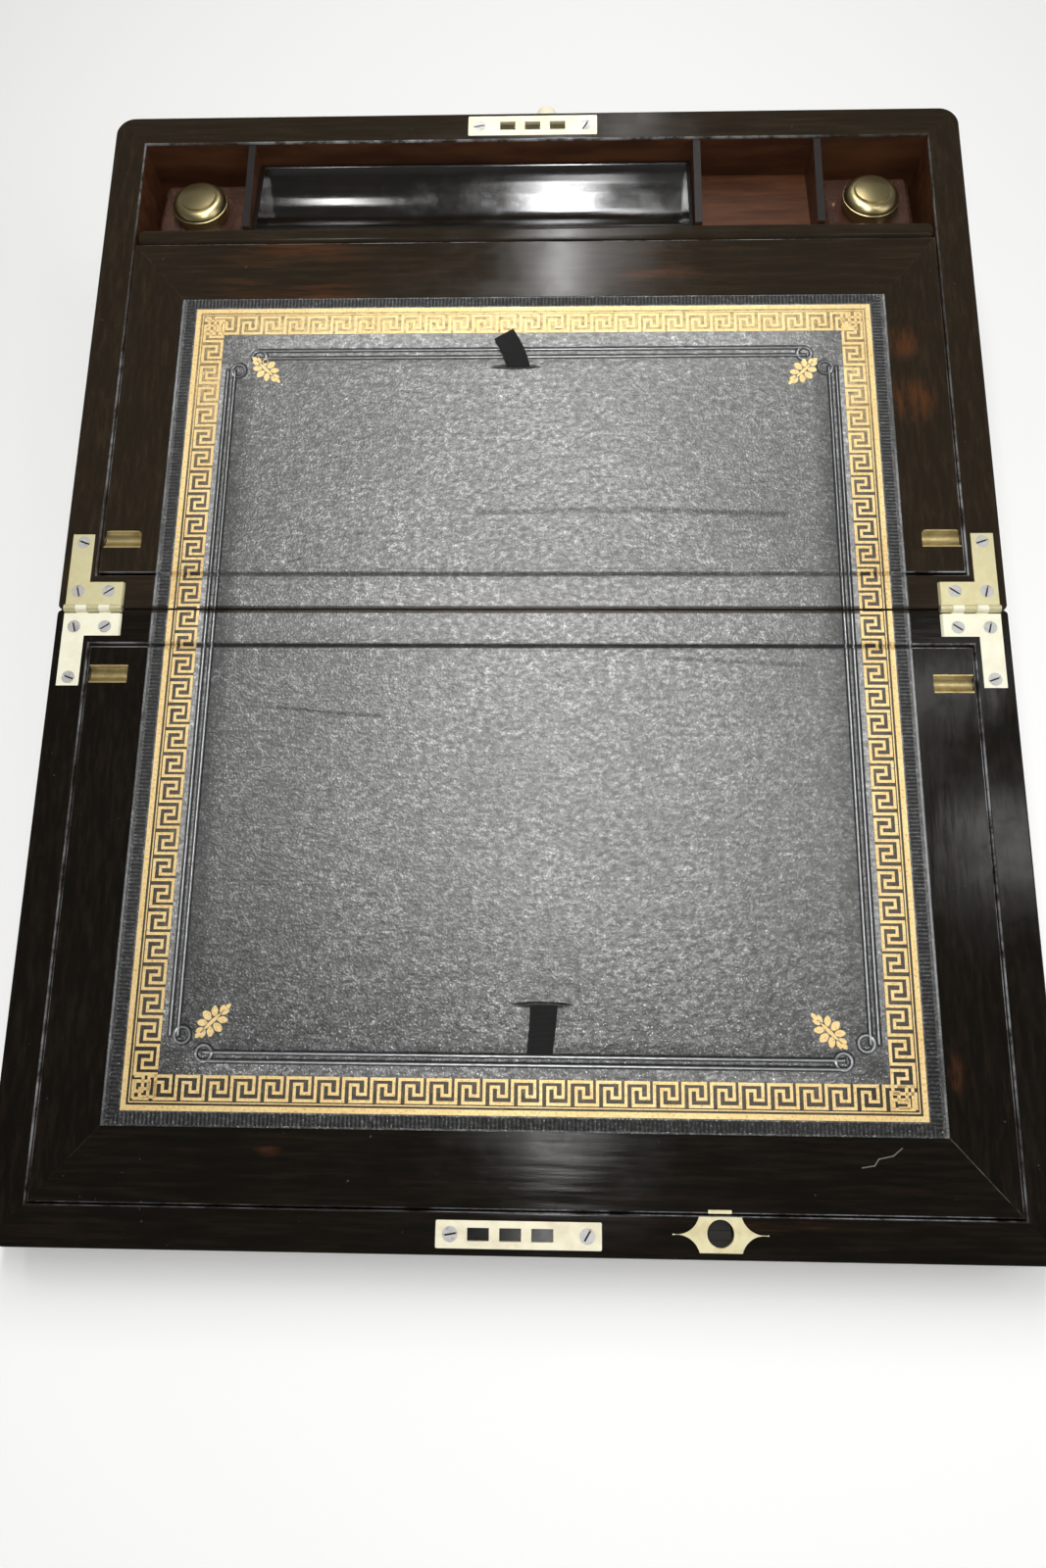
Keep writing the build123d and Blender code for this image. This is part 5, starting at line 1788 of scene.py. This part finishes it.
@dataclass
class Cabinet:
    """Everything whose CAD shape stands, given its finish."""

    frame: dict
    slope: Slope

    @property
    def nodes(self) -> dict[str, Object]:
        """The loaded nodes by name."""
        return self.frame["nodes"]

    def dress(self, names: Sequence[str], material: Material) -> None:
        """Give nodes one material.

        Args:
            names: the nodes' names.
            material: the material.
        """
        for name in names:
            for material_slot in self.nodes[name].material_slots:
                material_slot.material = material
            log.info("%s: %s", name, material.name)

    def lining(self, half: Half) -> tuple[Vector, Vector]:
        """The corners of the space inside a half, from its floor board."""
        low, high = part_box(FLOOR_BOARD[half])
        return Vector((low.x, low.y, high.z)), Vector((high.x, high.y, 1.0))

    def opening(self, half: Half) -> Outline:
        """Measure the rectangle inside a half's rims.

        Args:
            half: the half.

        Returns:
            The rectangle on the slope.
        """
        low, high = self.lining(half)
        start, end = ((corner.y - self.slope.hinge.y) / self.slope.along.y for corner in (low, high))
        return Outline(high.x, start, end)

    def frame_outline(self, half: Half) -> Outline:
        """The outer rectangle of a flap's frame."""
        low, high = self.slope.extent(self.nodes[f"{half.flap}_frame"])
        return Outline(high.x, low.y, high.y)

    def frame_mitre(self, half: Half) -> Mitre:
        """Find where a flap's stiles and rail start and how wide they are.

        Args:
            half: the flap's half.

        Returns:
            The mitre, with its marks of age.
        """
        frame = self.frame_outline(half)
        low, high = self.slope.extent(self.nodes[f"{half.flap}_panel"])
        rail_from = max(abs(low.y), abs(high.y))
        rail_to = max(abs(frame.start), abs(frame.end))
        cracks = (CRACK,) if half is Half.LID else ()
        return Mitre(high.x, frame.x - high.x, rail_from, rail_to - rail_from, cracks, FLAMES[half])

    def dress_half(self, half: Half) -> None:
        """Finish a half's walls, its floor board and its flap's frame.

        Args:
            half: the half.
        """
        # The half's wood colours carry painted light on the base and painted shade on the lid.
        black, brown = WOOD_LIT_AND_SHADED[half]
        lining = self.lining(half)
        for wall, grain in WALL_GRAIN.items():
            name = f"{half.body}_{wall}"
            low, _ = self.slope.extent(self.nodes[name])
            finish = Coromandel(
                f"{name}_wood",
                self.slope,
                grain,
                lining=lining,
                arris=self.opening(half),
                worn_s=low.y if name == "lid_lock_wall" else None,
                black=black,
                brown=brown,
            )
            self.dress([name], finish.material())
        board = FLOOR_BOARD[half]
        finish = Coromandel(f"{board}_wood", self.slope, Grain.ACROSS, lining=lining)
        self.dress([board], finish.material())
        finish = Coromandel(
            f"{half.flap}_wood",
            self.slope,
            arris=self.frame_outline(half),
            mitre=self.frame_mitre(half),
            black=black,
            brown=brown,
        )
        self.dress([f"{half.flap}_frame"], finish.material())

    def dress_pen_section(self) -> None:
        """Finish the moulded rail, the pen tray and the boards inside."""
        # The rail takes the base's wood colours, with their painted light.
        black, brown = WOOD_LIT_AND_SHADED[Half.BASE]
        rail = Coromandel(
            "pen_rail_wood", self.slope, Grain.ACROSS, black=black, brown=brown, flame_share=0.2
        )
        self.dress(["pen_section_rail"], rail.material())
        tray = Coromandel(
            "pen_tray_wood",
            self.slope,
            Grain.ACROSS,
            gloss=(0.10, 0.20),
            ripple=0.07 * MM,
            flame_share=0.0,
            specular=1.0,
        )
        self.dress(["pen_tray"], tray.material())
        self.dress(INNER_BOARDS, InnerBoards(self.slope).material())

    def dress_brass(self) -> None:
        """Finish the hinges, plates, catch, troughs, caps and collars."""
        hinge = Brass("hinge_brass", (0.76, 0.70, 0.42), dullness=0.25)
        self.dress(["base_hinge_leaves"], hinge.material())
        # The lid's hinge leaves: near-white with little metal, a painted reflection of bright surroundings, a
        # lit copy of the base's hinge brass.
        rubbed = Brass("rubbed_brass", (0.97, 0.94, 0.74), dullness=0.15, metallic=0.1)
        self.dress(["lid_hinge_leaves"], rubbed.material())
        # The plates and key fittings: pale with little metal, a painted reflection of bright surroundings.
        plate = Brass("plate_brass", (1.0, 0.93, 0.70), dullness=0.25, metallic=0.15)
        self.dress(["lock_plate", "striker_plate", "key_nozzle", "key_barrel"], plate.material())
        catch = Brass("catch_brass", (0.88, 0.80, 0.50), dullness=0.4, metallic=0.4)
        catch_parts = ["catch_plate", "catch_rivet", "catch_strike", "catch_spring", "lock_case"]
        self.dress(catch_parts, catch.material())
        trough = Brass("trough_brass", (0.62, 0.50, 0.24), (0.25, 0.17, 0.06), 0.7, 0.3, metallic=0.9)
        self.dress(["base_flap_troughs", "lid_flap_troughs"], trough.material())
        cap = Brass(
            "cap_brass",
            (0.56, 0.47, 0.24),
            (0.44, 0.35, 0.17),
            dullness=0.3,
            roughness=0.30,
            metallic=1.0,
            scratch=0.0001 * MM,
            haze=0.03,
        )
        tops = [f"inkwell_{part}_{side}" for part in ("cap", "collar") for side in ("left", "right")]
        self.dress(tops, cap.material())

    def build(self) -> None:
        """Finish every node that keeps its CAD shape."""
        for half in Half:
            self.dress_half(half)
        self.dress_pen_section()
        self.dress_brass()
        self.dress(SCREWS_AND_PINS + CLAWS_AND_BOLT, Steel(self.slope).material())
        self.dress(["inkwell_bottle_left", "inkwell_bottle_right"], InkGlass().material())


# ---- studio ----


@dataclass(frozen=True)
class Lamp:
    """A soft rectangular lamp, aimed at a point."""

    name: str
    place: Vector
    target: Vector
    size: tuple[float, float]
    brightness: float

    def build(self) -> None:
        """Hang the lamp; its power follows from its size and the brightness of its face."""
        data = bpy.data.lights.new(self.name, "AREA")
        data.shape = "RECTANGLE"
        data.size, data.size_y = self.size
        data.energy = self.brightness * math.pi * self.size[0] * self.size[1]
        lamp = bpy.data.objects.new(self.name, data)
        lamp.location = self.place
        lamp.rotation_euler = (self.target - self.place).to_track_quat("-Z", "Y").to_euler()
        bpy.context.scene.collection.objects.link(lamp)


@dataclass
class Studio:
    """The pale floor, the light and the camera."""

    slope: Slope
    horizon_level: float = 0.60
    overhead_level: float = 0.09
    horizon_heights: Range = (0.05, 0.6)
    sky: Colour = (0.96, 0.98, 1.0)
    lamp_x: float = 16 * MM
    lamp_width: float = 58 * MM
    floor_reach: float = 4.0
    paper: tuple[Colour, Colour] = ((0.90, 0.895, 0.88), (0.92, 0.915, 0.90))
    glow: Colour = (1.0, 0.995, 0.985)
    glow_reach: float = 0.35
    floor_glow: Range = (0.235, 0.045)
    camera_place: tuple[float, float, float] = (13.06 * MM, -182.07 * MM, 429.41 * MM)
    camera_view: tuple[float, float, float] = (-0.0306, 0.2374, -0.9709)
    camera_up: tuple[float, float, float] = (-0.0056, 0.9713, 0.2377)
    focal_length: float = 24.75
    sensor: float = 36.0

    def camera(self) -> None:
        """Stand the camera where the photograph was taken."""
        turn = self.slope.matrix.to_3x3()
        view = (turn @ Vector(self.camera_view)).normalized()
        up = turn @ Vector(self.camera_up)
        right = view.cross(up).normalized()
        up = right.cross(view)
        data = bpy.data.cameras.new("camera")
        data.lens = self.focal_length
        data.sensor_width = self.sensor
        data.clip_start = 0.01
        camera = bpy.data.objects.new("camera", data)
        place = self.slope.point(*self.camera_place)
        camera.matrix_world = Matrix.Translation(place) @ Matrix((right, up, -view)).transposed().to_4x4()
        bpy.context.scene.collection.objects.link(camera)
        bpy.context.scene.camera = camera

    def lamps(self) -> list[Lamp]:
        """List the lamps: a long one over the middle, in two lengths, and small and soft ones beside it.

        Returns:
            The lamps.
        """
        point = self.slope.point
        middle = point(0, 0, 0)
        over, width = self.lamp_x, self.lamp_width
        return [
            Lamp("far_lamp", point(over, 0.675, 1.0), point(over, 0.675, 0), (width, 1.05), 41.0),
            Lamp("near_lamp", point(over, -0.09, 1.0), point(over, -0.09, 0), (width, 0.48), 25.0),
            Lamp("tray_lamp", point(0.036, -0.13, 0.5), point(0.036, -0.13, 0), (0.075, 0.26), 5.0),
            Lamp("left_lamp", point(-0.285, 0.42, 1.0), point(-0.285, 0.42, 0), (0.055, 0.34), 22.0),
            Lamp("pale_lamp", point(0.13, 1.25, 1.0), middle, (0.06, 0.5), 9.0),
            Lamp("stile_lamp", point(0.49, 0.29, 1.0), middle, (0.08, 0.24), 7.0),
            Lamp("wall_lamp", point(0.62, 0.09, 1.0), middle, (0.12, 0.16), 9.0),
            Lamp("soft_lamp", point(1.1, -0.2, 0.9), middle, (0.7, 0.7), 1.4),
        ]

    def world(self) -> None:
        """Light everything from a pale horizon under a dark ceiling."""
        world = bpy.data.worlds.new("studio")
        world.use_nodes = True
        nodes, links = world.node_tree.nodes, world.node_tree.links
        direction = nodes.new("ShaderNodeTexCoord").outputs["Object"]
        height = nodes.new("ShaderNodeSeparateXYZ")
        links.new(direction, height.inputs[0])
        level = nodes.new("ShaderNodeMapRange")
        level.interpolation_type = "SMOOTHSTEP"
        level.inputs["From Min"].default_value, level.inputs["From Max"].default_value = self.horizon_heights
        level.inputs["To Min"].default_value = self.horizon_level
        level.inputs["To Max"].default_value = self.overhead_level
        links.new(height.outputs[2], level.inputs["Value"])
        background = nodes["Background"]
        background.inputs["Color"].default_value = rgba(self.sky)
        links.new(level.outputs[0], background.inputs["Strength"])
        bpy.context.scene.world = world

    def floor(self) -> None:
        """Lay the pale floor, which looks white to the camera and keeps the box's shadow."""
        mesh = bmesh.new()
        rectangle(mesh, (-self.floor_reach, -self.floor_reach), (self.floor_reach, self.floor_reach))
        tree = ShaderTree("floor_paper")
        place = tree.object_place()
        _, y, _ = tree.parts(place)
        darker, paler = self.paper
        colour = tree.mix(tree.noise(place, 3.0), rgba(darker), rgba(paler))
        rays = tree.add("LightPath").outputs
        seen = tree.largest(*(rays[f"Is {kind} Ray"] for kind in ("Camera", "Glossy", "Transmission")))
        level = tree.band(y, -self.glow_reach, self.glow_reach, *self.floor_glow)
        glow = {"Emission_Color": rgba(self.glow), "Emission_Strength": tree.product(seen, level)}
        paper = tree.finish(colour, 0.9, **glow)
        floor = finished("floor", mesh, paper)

    def build(self) -> None:
        """Set up the whole studio."""
        bpy.context.scene.view_settings.view_transform = "Standard"
        self.camera()
        for lamp in self.lamps():
            lamp.build()
        self.world()
        self.floor()


def main() -> None:
    """Dress the frame, add the soft and gilded pieces, and light the scene."""
    logging.basicConfig(level=logging.INFO, format="%(message)s")
    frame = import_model()
    slope = Slope.of(frame)
    Studio(slope).build()
    cabinet = Cabinet(frame, slope)
    cabinet.build()
    nodes = cabinet.nodes
    plan = ToolingPlan()
    gold = GoldLeaf().material()
    silk = SilkRibbon().material()
    for half in Half:
        ribbon = nodes[f"{half.flap}_ribbon"]
        low, high = slope.extent(ribbon)
        slit = ((low.x + high.x) / 2 - SLIT_ASIDE[half], half.value * min(abs(low.y), abs(high.y)))
        strip, sheet = nodes[f"{half.body}_leather_strip"], nodes[f"{half.flap}_leather"]
        leather = WritingLeather(half, slope, plan, strip, sheet, slit)
        for maker in (leather, GiltBand(leather, gold), RibbonTab(half, slope, ribbon, silk)):
            piece = maker.build()
            log.info("%s: %d faces", piece.name, len(piece.data.polygons))


if __name__ == "__main__":
    main()
